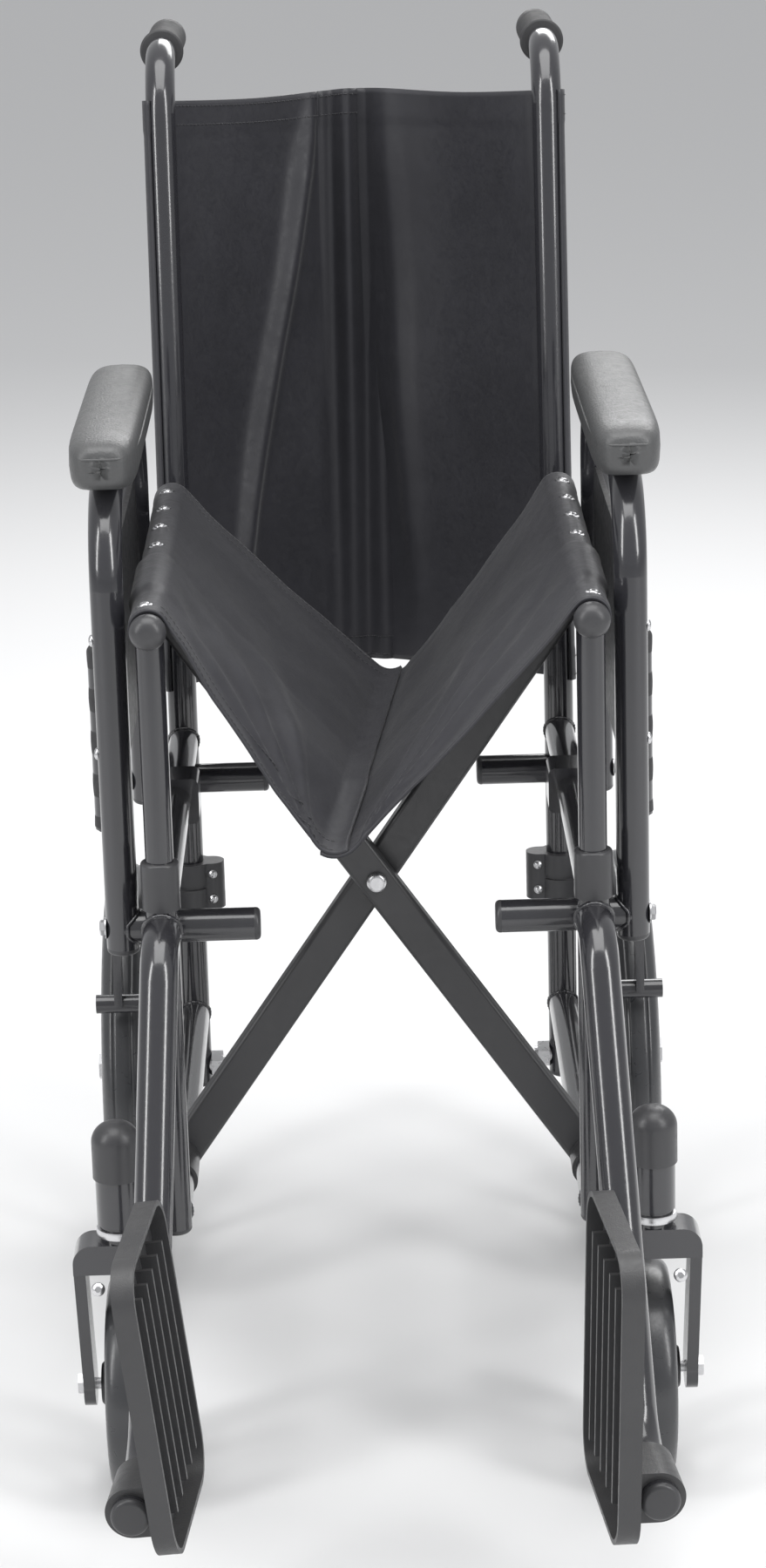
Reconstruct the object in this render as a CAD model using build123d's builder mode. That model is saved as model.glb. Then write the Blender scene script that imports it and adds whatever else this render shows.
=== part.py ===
from build123d import *
import os
from math import cos, radians, sin, tan

# Folding transport wheelchair, drawn partly folded as it stands in the photograph.
# Millimetres, +Z up, floor at zero, the chair faces -Y, and its left frame is at -X.
# Distances called "fore" are measured forward from the rear posts.

os.makedirs("parts", exist_ok=True)

# Tubes
tube_d = 22.2
tube_wall = 1.5
leg_tube_d = 19.0
hanger_tube_d = 25.4
weld_gap = 0.1
seat_gap = 0.3
running_gap = 0.05

# Side frames
frame_half = 144.0
lower_rail_z = 203.0
upper_rail_z = 425.0
seat_rail_z = 617.0
post_bottom_z = 146.0
front_post_fore = 403.0
front_post_bottom_z = 194.0
recline_z = 458.0
recline_deg = 7.2
recline_bend = 150.0
handle_z = 935.0
handle_bend = 46.0
handle_length = 160.0
rear_stub_fore = 32.0
stub_reach = 61.0

# Arm frames
arm_offset = 28.0
arm_top_z = 695.0
arm_bend = 58.0
arm_bottom_z = 389.0
pad_width = 46.0
pad_bottom_z = 699.0
pad_top_z = 737.0
pad_front_fore = 384.0
pad_rear_fore = 84.0
pad_round = 12.0
pad_top_round = 9.0
pad_bottom_round = 5.0
panel_bottom_z = 486.0
panel_top_z = 641.0
panel_thick = 4.0
panel_corner = 18.0

# Seat rails and cross brace
rail_front_fore = 420.0
rail_rear_fore = 25.0
leg_bottom_z = 372.0
brace_fore = 305.0
brace_w = 25.4
brace_t = 15.0
brace_wall = 1.6
brace_side_gap = 1.0
sleeve_length = 80.0
sleeve_wall = 2.3
brace_bolt_d = 8.0
brace_bolt_head_d = 14.0
brace_bolt_head_t = 5.0
brace_washer_d = 20.0
brace_corner = 3.0

# Slings
sling_thick = 3.0
seat_sling_width = 196.0
seat_sling_offset = 15.5
seat_sling_slope = 50.0
seat_sling_front_fore = 414.0
seat_sling_rear_fore = 22.0
back_sling_width = 218.0
back_sling_slope = 49.5
back_sling_clear = 1.6
back_sling_low = 6.0
back_sling_high = 450.0

# Rear wheels
rear_wheel_r = 159.0
rear_tyre_w = 34.0
rear_tyre_depth = 26.0
rear_wheel_offset = 49.0
rear_axle_d = 12.0
axle_nut_r = 10.5
axle_nut_t = 9.0
axle_head_t = 6.0
axle_end = 2.4
axle_spacer_d = 20.0
rear_hub_d = 44.0
rear_hub_w = 44.0
rear_rim_depth = 14.0
rear_rim_w = 24.0
rear_spokes = 8
rear_spoke_w = 18.0
rear_spoke_t = 10.0

# Front casters
caster_offset = 36.0
caster_fore = 435.0
caster_trail = 36.0
caster_wheel_r = 76.0
caster_tyre_w = 28.0
caster_tyre_depth = 14.0
caster_hub_d = 30.0
caster_hub_w = 40.0
caster_rim_depth = 8.0
caster_rim_w = 20.0
caster_spokes = 5
caster_spoke_w = 14.0
caster_spoke_t = 9.0
caster_axle_d = 8.0
caster_nut_r = 7.5
caster_nut_t = 4.5
fork_half = 32.0
fork_plate = 8.0
fork_depth = 28.0
fork_crown_z = 179.0
fork_crown_t = 21.0
fork_corner = 13.0
fork_leg_step = 1.0
fork_leg_sink = 4.0
fork_foot_r = 15.0
barrel_d = 30.0
barrel_bottom_z = 212.0
barrel_top_z = 262.0
barrel_cap_d = 33.0
barrel_cap_skirt = 17.0
barrel_cap_rise = 22.0
stem_d = 14.0
stem_ring_d = 27.0
housing_web_t = 8.0
housing_web_inset = 4.0

# Foot hangers and footplates
hanger_top_z = 409.0
hanger_wall_cope = 4.0
hanger_knee_fore = 448.0
hanger_knee_bend = 34.0
foot_fore = 590.0
foot_z = 110.0
foot_offset = 14.5
foot_bend = 42.0
foot_length = 74.0
foot_splay = 5.5
hub_d = 34.0
hub_length = 44.0
hub_setback = 4.0
plate_height = 196.0
plate_thick = 14.0
plate_rim = 3.5
plate_inset = 20.0
plate_overhang = 42.0
plate_length = 138.0
plate_corner = 26.0
plate_ribs = 5
rib_sink = 0.5
plate_lean = {"left": 6.5, "right": 1.5}

# Small parts
collar_d = 25.8
collar_bottom_z = 423.0
collar_top_z = 456.0
collar_lip = 14.0
collar_round = 2.0
plug_lip = 4.0
plug_spigot = 6.0
plug_edge = 3.2
ball_lip = 1.0
grip_d = 29.0
grip_length = 112.0
grip_wall_end = 3.0
grip_flange_d = 33.0
grip_flange_t = 5.0
grip_round = 3.0
clamp_z = 308.5
clamp_height = 37.0
clamp_d = 33.0
clamp_lug = 27.0
clamp_lug_w = 20.0
clamp_groove = 3.0
screw_head_d = 8.0
screw_head_t = 2.6
screw_first_fore = 50.0
screw_last_fore = 398.0
screw_spacing = 58.0
screw_tilt = 12.0
lock_fore = 150.0
lock_pivot_z = 330.0
lock_pin_d = 8.0
lock_plate_t = 5.0
lock_clamp_w = 34.0
lock_corner = 5.0
lock_plate_drop = 14.0
lock_head_t = 3.0
lock_sink = 1.0
lock_bar_t = 6.0
lock_bar_w = 20.0
lock_shoe_drop = 65.0
lock_shoe_d = 14.0
lock_grip_low_z = 402.0
lock_grip_top_z = 540.0
lock_grip_d = 22.0
lock_grip_round = 6.0

# Places that follow from the sizes
tube_r = tube_d / 2
leg_r = leg_tube_d / 2
cane_lean = (handle_z - recline_z) * tan(radians(recline_deg))
handle_reach = cane_lean + handle_length
rear_reach = handle_reach + grip_wall_end
splay = radians(foot_splay)
foot_tip_fore = foot_fore + foot_length * cos(splay)
front_reach = foot_tip_fore + plate_overhang * cos(splay) + (plate_inset + plate_thick) * sin(splay)
rear_post_y = (front_reach - rear_reach) / 2
brace_centre_z = (lower_rail_z + seat_rail_z) / 2
stub_z = upper_rail_z - tube_d - weld_gap
front_stub_fore = front_post_fore - tube_d - weld_gap
arm_x = frame_half + arm_offset
caster_x = frame_half + caster_offset
rear_wheel_x = frame_half + rear_wheel_offset
axle_z = rear_wheel_r
sleeve_d = tube_d + 2 * (running_gap + sleeve_wall)
guide_bore = leg_tube_d + 2 * seat_gap


def fore(distance):
    """Y of a point that lies this far forward of the rear posts."""
    return rear_post_y - distance


def tube(path_points, bends, diameter, wall):
    """A round tube along straight runs joined by bends."""
    with BuildPart() as part:
        with BuildLine() as path:
            if bends:
                FilletPolyline(*path_points, radius=bends)
            else:
                Line(*path_points)
        with BuildSketch(Plane(origin=path.wire() @ 0, z_dir=path.wire() % 0)):
            Circle(diameter / 2)
            Circle(diameter / 2 - wall, mode=Mode.SUBTRACT)
        sweep(path=path.wire())
    return part


def rod(start, end, diameter, bore=0):
    """A round bar from one point to another, with a bore if one is given."""
    axis = Vector(*end) - Vector(*start)
    with BuildPart() as part:
        with BuildSketch(Plane(origin=start, z_dir=axis.normalized())):
            Circle(diameter / 2)
            if bore:
                Circle(bore / 2, mode=Mode.SUBTRACT)
        extrude(amount=axis.length)
    return part


def cut_by(part, tool):
    """Takes a tool's solid out of a part."""
    with BuildPart() as result:
        add(part.part)
        add(tool.part, mode=Mode.SUBTRACT)
    return result


def group(label, *builders):
    """Writes separate pieces of one kind as one file."""
    solids = [solid for builder in builders for solid in builder.part.solids()]
    compound = Compound(children=solids)
    compound.label = label
    export_step(compound, f"parts/{label}.step")


def save(label, builder):
    """Labels a finished piece and writes its file."""
    builder.part.label = label
    export_step(builder.part, f"parts/{label}.step")


# Side frame tubes
def back_cane(side):
    """The rear post, which leans back above the seat and turns rearward as the push handle."""
    x = side * frame_half
    points = (
        (x, fore(0), post_bottom_z),
        (x, fore(0), recline_z),
        (x, fore(-cane_lean), handle_z),
        (x, fore(-handle_reach), handle_z),
    )
    cane = tube(points, [recline_bend, handle_bend], tube_d, tube_wall)
    hole = rod((x - tube_d, fore(0), axle_z), (x + tube_d, fore(0), axle_z), rear_axle_d + 2 * running_gap)
    return cut_by(cane, hole)


def push_grip(side):
    """A rubber sleeve over the handle, with a flange in front and a closed end."""
    x = side * frame_half
    end = -(handle_reach + grip_wall_end)
    start = end + grip_length
    with BuildPart() as part:
        with BuildSketch(Plane(origin=(x, fore(end), handle_z), z_dir=(0, -1, 0))):
            Circle(grip_d / 2)
        extrude(amount=grip_length)
        with BuildSketch(Plane(origin=(x, fore(start), handle_z), z_dir=(0, 1, 0))):
            Circle(grip_flange_d / 2)
        extrude(amount=grip_flange_t)
        fillet(part.faces().sort_by(Axis.Y)[-1].edges(), grip_round)
        with BuildSketch(Plane(origin=(x, fore(start), handle_z), z_dir=(0, 1, 0))):
            Circle(tube_r + running_gap)
        extrude(amount=grip_length - grip_wall_end, mode=Mode.SUBTRACT)
    return part


def front_post(side):
    """The hollow front post that the seat's guide leg slides in."""
    x = side * frame_half
    low = (x, fore(front_post_fore), front_post_bottom_z)
    high = (x, fore(front_post_fore), collar_top_z - collar_lip)
    return rod(low, high, tube_d, guide_bore)


def guide_collar(side):
    """A stepped plastic cap on the front post, which guides the leg."""
    x = side * frame_half
    y = fore(front_post_fore)
    with BuildPart() as part:
        with BuildSketch(Plane(origin=(x, y, collar_bottom_z))):
            Circle(collar_d / 2)
        extrude(amount=collar_top_z - collar_bottom_z)
        fillet(part.faces().sort_by(Axis.Z)[-1].edges(), collar_round)
        with BuildSketch(Plane(origin=(x, y, collar_bottom_z))):
            Circle(tube_r + running_gap)
        extrude(amount=collar_top_z - collar_lip - collar_bottom_z, mode=Mode.SUBTRACT)
        with BuildSketch(Plane(origin=(x, y, collar_bottom_z))):
            Circle(leg_r + running_gap)
        extrude(amount=collar_top_z - collar_bottom_z, mode=Mode.SUBTRACT)
    return part


def rail_between_posts(side, z):
    """A level side tube, coped to the rear post, the front post and its collar."""
    x = side * frame_half
    rail = tube(((x, fore(0), z), (x, fore(front_post_fore), z)), None, tube_d, tube_wall)
    with BuildPart() as coped:
        add(rail.part)
        for distance in (0, front_post_fore):
            with BuildSketch(Plane(origin=(x, fore(distance), z - tube_d))):
                Circle(tube_r + weld_gap)
            extrude(amount=2 * tube_d, mode=Mode.SUBTRACT)
        if z + tube_r > collar_bottom_z:
            with BuildSketch(Plane(origin=(x, fore(front_post_fore), collar_bottom_z - weld_gap))):
                Circle(collar_d / 2 + weld_gap)
            extrude(amount=2 * tube_d, mode=Mode.SUBTRACT)
    return coped


def stub_tube(side, distance):
    """A cross tube under the upper rail, from the arm frame inward past the rail."""
    outer = (side * arm_x, fore(distance), stub_z)
    inner = (side * (frame_half - stub_reach), fore(distance), stub_z)
    stub = tube((outer, inner), None, tube_d, tube_wall)
    low = (side * arm_x, fore(distance), stub_z - tube_d)
    high = (side * arm_x, fore(distance), stub_z + tube_d)
    return cut_by(stub, rod(low, high, tube_d + 2 * weld_gap))


def arm_frame(side):
    """The inverted U that carries the armrest pad and the side panel."""
    x = side * arm_x
    points = (
        (x, fore(front_stub_fore), arm_bottom_z),
        (x, fore(front_stub_fore), arm_top_z),
        (x, fore(rear_stub_fore), arm_top_z),
        (x, fore(rear_stub_fore), arm_bottom_z),
    )
    return tube(points, [arm_bend, arm_bend], tube_d, tube_wall)


def armrest_pad(side):
    """A long pad with rounded ends and edges, grooved underneath for the arm tube."""
    x = side * arm_x
    length = pad_front_fore - pad_rear_fore
    middle = (pad_front_fore + pad_rear_fore) / 2
    with BuildPart() as part:
        with BuildSketch(Plane(origin=(x, fore(middle), pad_bottom_z))):
            RectangleRounded(pad_width, length, pad_round)
        extrude(amount=pad_top_z - pad_bottom_z)
        fillet(part.faces().sort_by(Axis.Z)[-1].edges(), pad_top_round)
        fillet(part.faces().sort_by(Axis.Z)[0].edges(), pad_bottom_round)
        with BuildSketch(Plane(origin=(x, fore(pad_rear_fore) + 1, arm_top_z), z_dir=(0, -1, 0))):
            Circle(tube_r + seat_gap)
        extrude(amount=length + 2, mode=Mode.SUBTRACT)
    return part


def side_panel(side):
    """The clothing guard that fills the arm frame between its legs."""
    x = side * arm_x
    front = front_stub_fore - tube_r - weld_gap
    rear = rear_stub_fore + tube_r + weld_gap
    centre = (x, fore((front + rear) / 2), (panel_bottom_z + panel_top_z) / 2)
    with BuildPart() as part:
        with BuildSketch(Plane(origin=centre, x_dir=(0, 1, 0), z_dir=(1, 0, 0))):
            RectangleRounded(front - rear, panel_top_z - panel_bottom_z, panel_corner)
        extrude(amount=panel_thick / 2, both=True)
    return part


def plug(centre, direction, diameter, wall):
    """A domed plastic plug: a spigot in the tube's bore and a lip over its end."""
    with BuildPart() as part:
        with BuildSketch(Plane(origin=centre, z_dir=direction)):
            Circle(diameter / 2)
        extrude(amount=plug_lip)
        fillet(part.edges().group_by(lambda edge: edge.center().dot(Vector(*direction)))[-1], plug_edge)
        with BuildSketch(Plane(origin=centre, z_dir=Vector(*direction) * -1)):
            Circle(diameter / 2 - wall - running_gap)
        extrude(amount=plug_spigot)
    return part


def barrel_cap(side):
    """The tall domed cap over the top of the caster housing."""
    skirt_z = barrel_top_z - barrel_cap_skirt
    with BuildPart() as part:
        with BuildSketch(Plane(origin=(side * caster_x, fore(caster_fore), skirt_z))):
            Circle(barrel_cap_d / 2)
        extrude(amount=barrel_cap_skirt + barrel_cap_rise)
        fillet(part.faces().sort_by(Axis.Z)[-1].edges(), barrel_cap_d * 0.42)
        with BuildSketch(Plane(origin=(side * caster_x, fore(caster_fore), skirt_z))):
            Circle(barrel_d / 2 + running_gap)
        extrude(amount=barrel_cap_skirt, mode=Mode.SUBTRACT)
    return part


def frame_caps(side, name):
    """Every plastic cap of one side frame: guide collar, caster cap and tube plugs."""
    x = side * frame_half
    inner_x = side * (frame_half - stub_reach)
    pieces = [guide_collar(side), barrel_cap(side)]
    for distance in (front_stub_fore, rear_stub_fore):
        pieces.append(plug((inner_x, fore(distance), stub_z), (-side, 0, 0), tube_d, tube_wall))
        pieces.append(plug((side * arm_x, fore(distance), arm_bottom_z), (0, 0, -1), tube_d, tube_wall))
    pieces.append(plug((x, fore(0), post_bottom_z), (0, 0, -1), tube_d, tube_wall))
    post_wall = (tube_d - guide_bore) / 2
    pieces.append(plug((x, fore(front_post_fore), front_post_bottom_z), (0, 0, -1), tube_d, post_wall))
    tip, axis = foot_axis(side)
    pieces.append(plug(tip, axis, hanger_tube_d, tube_wall))
    group(f"frame_caps_{name}", *pieces)


# Caster housing
def caster_housing(side):
    """The bored barrel for the caster stem, with a web that welds it to the front post."""
    x, y = side * caster_x, fore(caster_fore)
    post = Vector(side * frame_half, fore(front_post_fore))
    reach = Vector(x, y) - post
    web_z = barrel_bottom_z + housing_web_inset
    web_height = barrel_top_z - barrel_cap_skirt - housing_web_inset / 2 - web_z
    web_plane = Plane(origin=(post.X, post.Y, web_z), x_dir=(reach.X, reach.Y, 0), z_dir=(0, 0, 1))
    with BuildPart() as part:
        with BuildSketch(Plane(origin=(x, y, barrel_bottom_z))):
            Circle(barrel_d / 2)
        extrude(amount=barrel_top_z - barrel_bottom_z)
        with BuildSketch(web_plane):
            Rectangle(reach.length, housing_web_t, align=(Align.MIN, Align.CENTER))
        extrude(amount=web_height)
        with BuildSketch(Plane(origin=(post.X, post.Y, barrel_bottom_z))):
            Circle(tube_r + weld_gap)
        extrude(amount=barrel_top_z - barrel_bottom_z, mode=Mode.SUBTRACT)
        with BuildSketch(Plane(origin=(x, y, barrel_bottom_z))):
            Circle(stem_d / 2 + running_gap)
        extrude(amount=barrel_top_z - barrel_bottom_z, mode=Mode.SUBTRACT)
    return part


def post_clamp(side):
    """A split clamp round the rear post, with a rounded lug inboard."""
    x = side * frame_half
    base = clamp_z - clamp_height / 2
    with BuildPart() as part:
        with BuildSketch(Plane(origin=(x, fore(0), base))):
            Circle(clamp_d / 2)
            with Locations((-side * (clamp_lug - clamp_lug_w / 2) / 2, 0)):
                Rectangle(clamp_lug - clamp_lug_w / 2, clamp_lug_w)
            with Locations((-side * (clamp_lug - clamp_lug_w / 2), 0)):
                Circle(clamp_lug_w / 2)
        extrude(amount=clamp_height)
        with BuildSketch(Plane(origin=(x, fore(0), clamp_z - clamp_groove / 2))):
            Circle(clamp_d)
            Circle(clamp_d / 2 - clamp_groove / 2, mode=Mode.SUBTRACT)
            with Locations((-side * clamp_lug / 2, 0)):
                Rectangle(clamp_lug, clamp_lug_w, mode=Mode.SUBTRACT)
        extrude(amount=clamp_groove, mode=Mode.SUBTRACT)
        with BuildSketch(Plane(origin=(x, fore(0), base))):
            Circle(tube_r + running_gap)
        extrude(amount=clamp_height, mode=Mode.SUBTRACT)
    return part


# Rear wheels
def rear_axle(side):
    """The axle bolt through the rear post: a nut inboard and a flange outboard of the hub."""
    hub_outer = rear_wheel_x + rear_hub_w / 2
    nut_outer = frame_half - tube_r - weld_gap
    nut_inner = nut_outer - axle_nut_t
    spacer_inner = frame_half + tube_r + weld_gap
    spacer_outer = rear_wheel_x - rear_hub_w / 2 - seat_gap
    with BuildPart() as part:
        with BuildSketch(Plane(origin=(side * (nut_inner - axle_end), fore(0), axle_z), z_dir=(side, 0, 0))):
            Circle(rear_axle_d / 2)
        extrude(amount=hub_outer + axle_end - (nut_inner - axle_end))
        with BuildSketch(Plane(origin=(side * nut_inner, fore(0), axle_z), z_dir=(side, 0, 0))):
            RegularPolygon(axle_nut_r, 6)
        extrude(amount=axle_nut_t)
        with BuildSketch(Plane(origin=(side * (hub_outer + seat_gap), fore(0), axle_z), z_dir=(side, 0, 0))):
            RegularPolygon(axle_nut_r, 6)
        extrude(amount=axle_head_t)
        with BuildSketch(Plane(origin=(side * spacer_inner, fore(0), axle_z), z_dir=(side, 0, 0))):
            Circle(axle_spacer_d / 2)
        extrude(amount=spacer_outer - spacer_inner)
    return part


def spoked_wheel(centre, sizes):
    """A moulded wheel: hub with a bore, rim and flat spokes."""
    outer_r, rim_depth, rim_w, hub_across, hub_wide, bore, spokes, spoke_w, spoke_t = sizes
    plane = Plane(origin=centre, z_dir=(1, 0, 0))
    with BuildPart() as part:
        with BuildSketch(plane):
            Circle(outer_r)
            Circle(outer_r - rim_depth, mode=Mode.SUBTRACT)
        extrude(amount=rim_w / 2, both=True)
        with BuildSketch(plane):
            Circle(hub_across / 2)
        extrude(amount=hub_wide / 2, both=True)
        with BuildSketch(plane):
            with PolarLocations(0, spokes):
                with Locations((outer_r / 2 - rim_depth / 4, 0)):
                    Rectangle(outer_r - rim_depth / 2, spoke_w)
        extrude(amount=spoke_t / 2, both=True)
        with BuildSketch(plane):
            Circle(bore / 2)
        extrude(amount=hub_wide, both=True, mode=Mode.SUBTRACT)
    return part


def tyre(centre, outer_r, inner_r, width, crown):
    """A solid tyre ring with a crowned tread."""
    plane = Plane(origin=centre, x_dir=(0, 0, 1), z_dir=(0, 1, 0))
    with BuildPart() as part:
        with BuildSketch(plane) as section:
            with Locations(((outer_r + inner_r) / 2, 0)):
                Rectangle(outer_r - inner_r, width)
            fillet(section.vertices().group_by(Axis.X)[-1], crown)
        revolve(axis=Axis(centre, (1, 0, 0)))
    return part


def rear_wheel_centre(side):
    """The middle of a rear wheel."""
    return (side * rear_wheel_x, fore(0), axle_z)


def rear_wheel(side):
    """The moulded rear wheel."""
    rim_r = rear_wheel_r - rear_tyre_depth
    sizes = (rim_r, rear_rim_depth, rear_rim_w, rear_hub_d, rear_hub_w,
             rear_axle_d + 2 * running_gap, rear_spokes, rear_spoke_w, rear_spoke_t)
    return spoked_wheel(rear_wheel_centre(side), sizes)


def rear_tyre(side):
    """The solid rear tyre."""
    inner = rear_wheel_r - rear_tyre_depth
    return tyre(rear_wheel_centre(side), rear_wheel_r, inner, rear_tyre_w, rear_tyre_w * 0.42)


# Casters
def caster_centre(side):
    """The middle of a caster wheel, which trails behind its stem."""
    return (side * caster_x, fore(caster_fore - caster_trail), caster_wheel_r)


def caster_fork(side):
    """Stem, ring, crown and two legs that reach back to the axle."""
    x, y = side * caster_x, fore(caster_fore)
    crown_top = fork_crown_z + fork_crown_t
    leg_y, leg_z = caster_centre(side)[1], caster_wheel_r
    with BuildPart() as part:
        crown_plane = Plane(origin=(x, y + fork_depth / 2, fork_crown_z), x_dir=(1, 0, 0), z_dir=(0, -1, 0))
        with BuildSketch(crown_plane) as crown:
            Rectangle(2 * fork_half, fork_crown_t, align=(Align.CENTER, Align.MIN))
            fillet(crown.vertices().group_by(Axis.Y)[-1], fork_corner)
        extrude(amount=fork_depth)
        for face_x in (x - fork_half, x + fork_half - fork_plate):
            with BuildSketch(Plane(origin=(face_x, y, 0), x_dir=(0, 1, 0), z_dir=(1, 0, 0))):
                with BuildLine():
                    Polyline(
                        (-fork_depth / 2 + fork_leg_step, fork_crown_z + fork_leg_sink),
                        (leg_y - y - fork_foot_r, leg_z + fork_leg_sink),
                        (leg_y - y - fork_foot_r * 0.6, leg_z - fork_foot_r * 0.5),
                        (leg_y - y + fork_foot_r * 0.6, leg_z - fork_foot_r * 0.5),
                        (leg_y - y + fork_foot_r, leg_z + fork_leg_sink),
                        (fork_depth / 2 - fork_leg_step, fork_crown_z + fork_leg_sink),
                        close=True,
                    )
                make_face()
                with Locations((leg_y - y, leg_z)):
                    Circle(fork_foot_r)
            extrude(amount=fork_plate)
        with BuildSketch(Plane(origin=(x - fork_half, leg_y, leg_z), z_dir=(1, 0, 0))):
            Circle(caster_axle_d / 2 + running_gap)
        extrude(amount=2 * fork_half, mode=Mode.SUBTRACT)
        with BuildSketch(Plane(origin=(x, y, crown_top - 1))):
            Circle(stem_ring_d / 2)
        extrude(amount=barrel_bottom_z - seat_gap - crown_top + 1)
        with BuildSketch(Plane(origin=(x, y, crown_top - 1))):
            Circle(stem_d / 2)
        extrude(amount=barrel_top_z - crown_top)
    return part


def caster_axle(side):
    """The axle bolt through the fork, with a domed head and a nut."""
    x, y, z = caster_centre(side)
    with BuildPart() as part:
        with BuildSketch(Plane(origin=(x, y, z), z_dir=(1, 0, 0))):
            Circle(caster_axle_d / 2)
        extrude(amount=fork_half + weld_gap + caster_nut_t / 2, both=True)
        for sign in (-1, 1):
            with BuildSketch(Plane(origin=(x + sign * (fork_half + weld_gap), y, z), z_dir=(sign, 0, 0))):
                RegularPolygon(caster_nut_r, 6)
            extrude(amount=caster_nut_t)
    return part


def caster_wheel(side):
    """The moulded caster wheel."""
    rim_r = caster_wheel_r - caster_tyre_depth
    sizes = (rim_r, caster_rim_depth, caster_rim_w, caster_hub_d, caster_hub_w,
             caster_axle_d + 2 * running_gap, caster_spokes, caster_spoke_w, caster_spoke_t)
    return spoked_wheel(caster_centre(side), sizes)


def caster_tyre(side):
    """The solid caster tyre."""
    inner = caster_wheel_r - caster_tyre_depth
    return tyre(caster_centre(side), caster_wheel_r, inner, caster_tyre_w, caster_tyre_depth * 0.8)


# Seat rail and cross brace
def seat_rail(side):
    """The seat rail with the guide leg that hangs from its front end."""
    x = side * frame_half
    leg_y = fore(front_post_fore)
    with BuildPart() as part:
        with BuildSketch(Plane(origin=(x, fore(rail_rear_fore), seat_rail_z), z_dir=(0, -1, 0))):
            Circle(tube_r)
        extrude(amount=rail_front_fore - rail_rear_fore)
        with BuildSketch(Plane(origin=(x, leg_y, leg_bottom_z))):
            Circle(leg_r)
        extrude(amount=seat_rail_z - leg_bottom_z)
        with BuildSketch(Plane(origin=(x, fore(rail_rear_fore), seat_rail_z), z_dir=(0, -1, 0))):
            Circle(tube_r - tube_wall)
        extrude(amount=rail_front_fore - rail_rear_fore, mode=Mode.SUBTRACT)
        with BuildSketch(Plane(origin=(x, leg_y, leg_bottom_z))):
            Circle(leg_r - tube_wall)
        extrude(amount=seat_rail_z - tube_r - tube_wall - leg_bottom_z, mode=Mode.SUBTRACT)
    return part


def seat_rail_plugs(side, name):
    """A ball-shaped plug at the seat rail's front and a flat one at its rear."""
    x = side * frame_half
    front_y = fore(rail_front_fore)
    with BuildPart() as ball:
        with BuildSketch(Plane(origin=(x, front_y, seat_rail_z), z_dir=(0, -1, 0))):
            Circle(tube_r + ball_lip)
        extrude(amount=tube_r)
        fillet(ball.faces().sort_by(Axis.Y)[0].edges(), tube_r * 0.85)
        with BuildSketch(Plane(origin=(x, front_y, seat_rail_z), z_dir=(0, 1, 0))):
            Circle(tube_r - tube_wall - running_gap)
        extrude(amount=plug_spigot)
    rear = plug((x, fore(rail_rear_fore), seat_rail_z), (0, 1, 0), tube_d, tube_wall)
    group(f"seat_rail_plugs_{name}", ball, rear)


def seat_screws(side, name):
    """Domed screws along the top of the seat rail, which hold the seat's hem."""
    count = int((screw_last_fore - screw_first_fore) / screw_spacing) + 1
    tilt = radians(screw_tilt)
    outward = Vector(side * sin(tilt), 0, cos(tilt))
    sleeve_low = brace_fore - sleeve_length / 2 - screw_head_d
    sleeve_high = brace_fore + sleeve_length / 2 + screw_head_d
    heads = []
    for index in range(count):
        distance = screw_first_fore + index * screw_spacing
        if sleeve_low < distance < sleeve_high:
            continue
        foot = Vector(side * frame_half, fore(distance), seat_rail_z) + outward * tube_r
        with BuildPart() as head:
            with BuildSketch(Plane(origin=foot, z_dir=outward)):
                Circle(screw_head_d / 2)
            extrude(amount=screw_head_t + screw_head_d ** 2 / (8 * tube_r))
            fillet(head.faces().sort_by(Axis.Z)[-1].edges(), screw_head_t / 2)
        heads.append(cut_by(head, rail_envelope(side, distance)))
    group(f"seat_screws_{name}", *heads)


def rail_envelope(side, distance):
    """The space of the seat rail round one screw."""
    x = side * frame_half
    start = (x, fore(distance + screw_head_d), seat_rail_z)
    end = (x, fore(distance - screw_head_d), seat_rail_z)
    return rod(start, end, tube_d + running_gap)


def brace(side, layer):
    """One arm of the cross brace, which runs up and inboard from this side's lower rail."""
    low = Vector(side * frame_half, 0, lower_rail_z)
    high = Vector(-side * frame_half, 0, seat_rail_z)
    along = (high - low).normalized()
    y = fore(brace_fore) + layer * (brace_t + brace_side_gap) / 2
    span = (high - low).length
    bore = tube_d + 2 * running_gap
    with BuildPart() as part:
        with BuildSketch(Plane(origin=(low.X, y, low.Z), x_dir=(0, 1, 0), z_dir=along)):
            RectangleRounded(brace_t, brace_w, brace_corner)
            RectangleRounded(brace_t - 2 * brace_wall, brace_w - 2 * brace_wall,
                             brace_corner - brace_wall, mode=Mode.SUBTRACT)
        extrude(amount=span)
        for end in (low, high):
            start = (end.X, fore(brace_fore - sleeve_length / 2), end.Z)
            with BuildSketch(Plane(origin=start, z_dir=(0, -1, 0))):
                Circle(sleeve_d / 2)
            extrude(amount=sleeve_length)
            with BuildSketch(Plane(origin=start, z_dir=(0, -1, 0))):
                Circle(bore / 2)
            extrude(amount=sleeve_length, mode=Mode.SUBTRACT)
        with BuildSketch(Plane(origin=(0, y + brace_t, brace_centre_z), z_dir=(0, -1, 0))):
            Circle(brace_bolt_d / 2 + running_gap)
        extrude(amount=2 * brace_t, mode=Mode.SUBTRACT)
    return part


def brace_bolt():
    """The bolt that joins the two arms, with a domed head, a nut and a washer between."""
    half = brace_t + brace_side_gap / 2
    y = fore(brace_fore)
    with BuildPart() as part:
        with BuildSketch(Plane(origin=(0, y, brace_centre_z), z_dir=(0, -1, 0))):
            Circle(brace_bolt_d / 2)
        extrude(amount=half + brace_bolt_head_t / 2, both=True)
        for sign in (-1, 1):
            origin = (0, y + sign * (half + weld_gap), brace_centre_z)
            with BuildSketch(Plane(origin=origin, z_dir=(0, sign, 0))):
                Circle(brace_bolt_head_d / 2)
            extrude(amount=brace_bolt_head_t)
        fillet(part.faces().sort_by(Axis.Y)[0].edges(), brace_bolt_head_t * 0.6)
    return part


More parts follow.
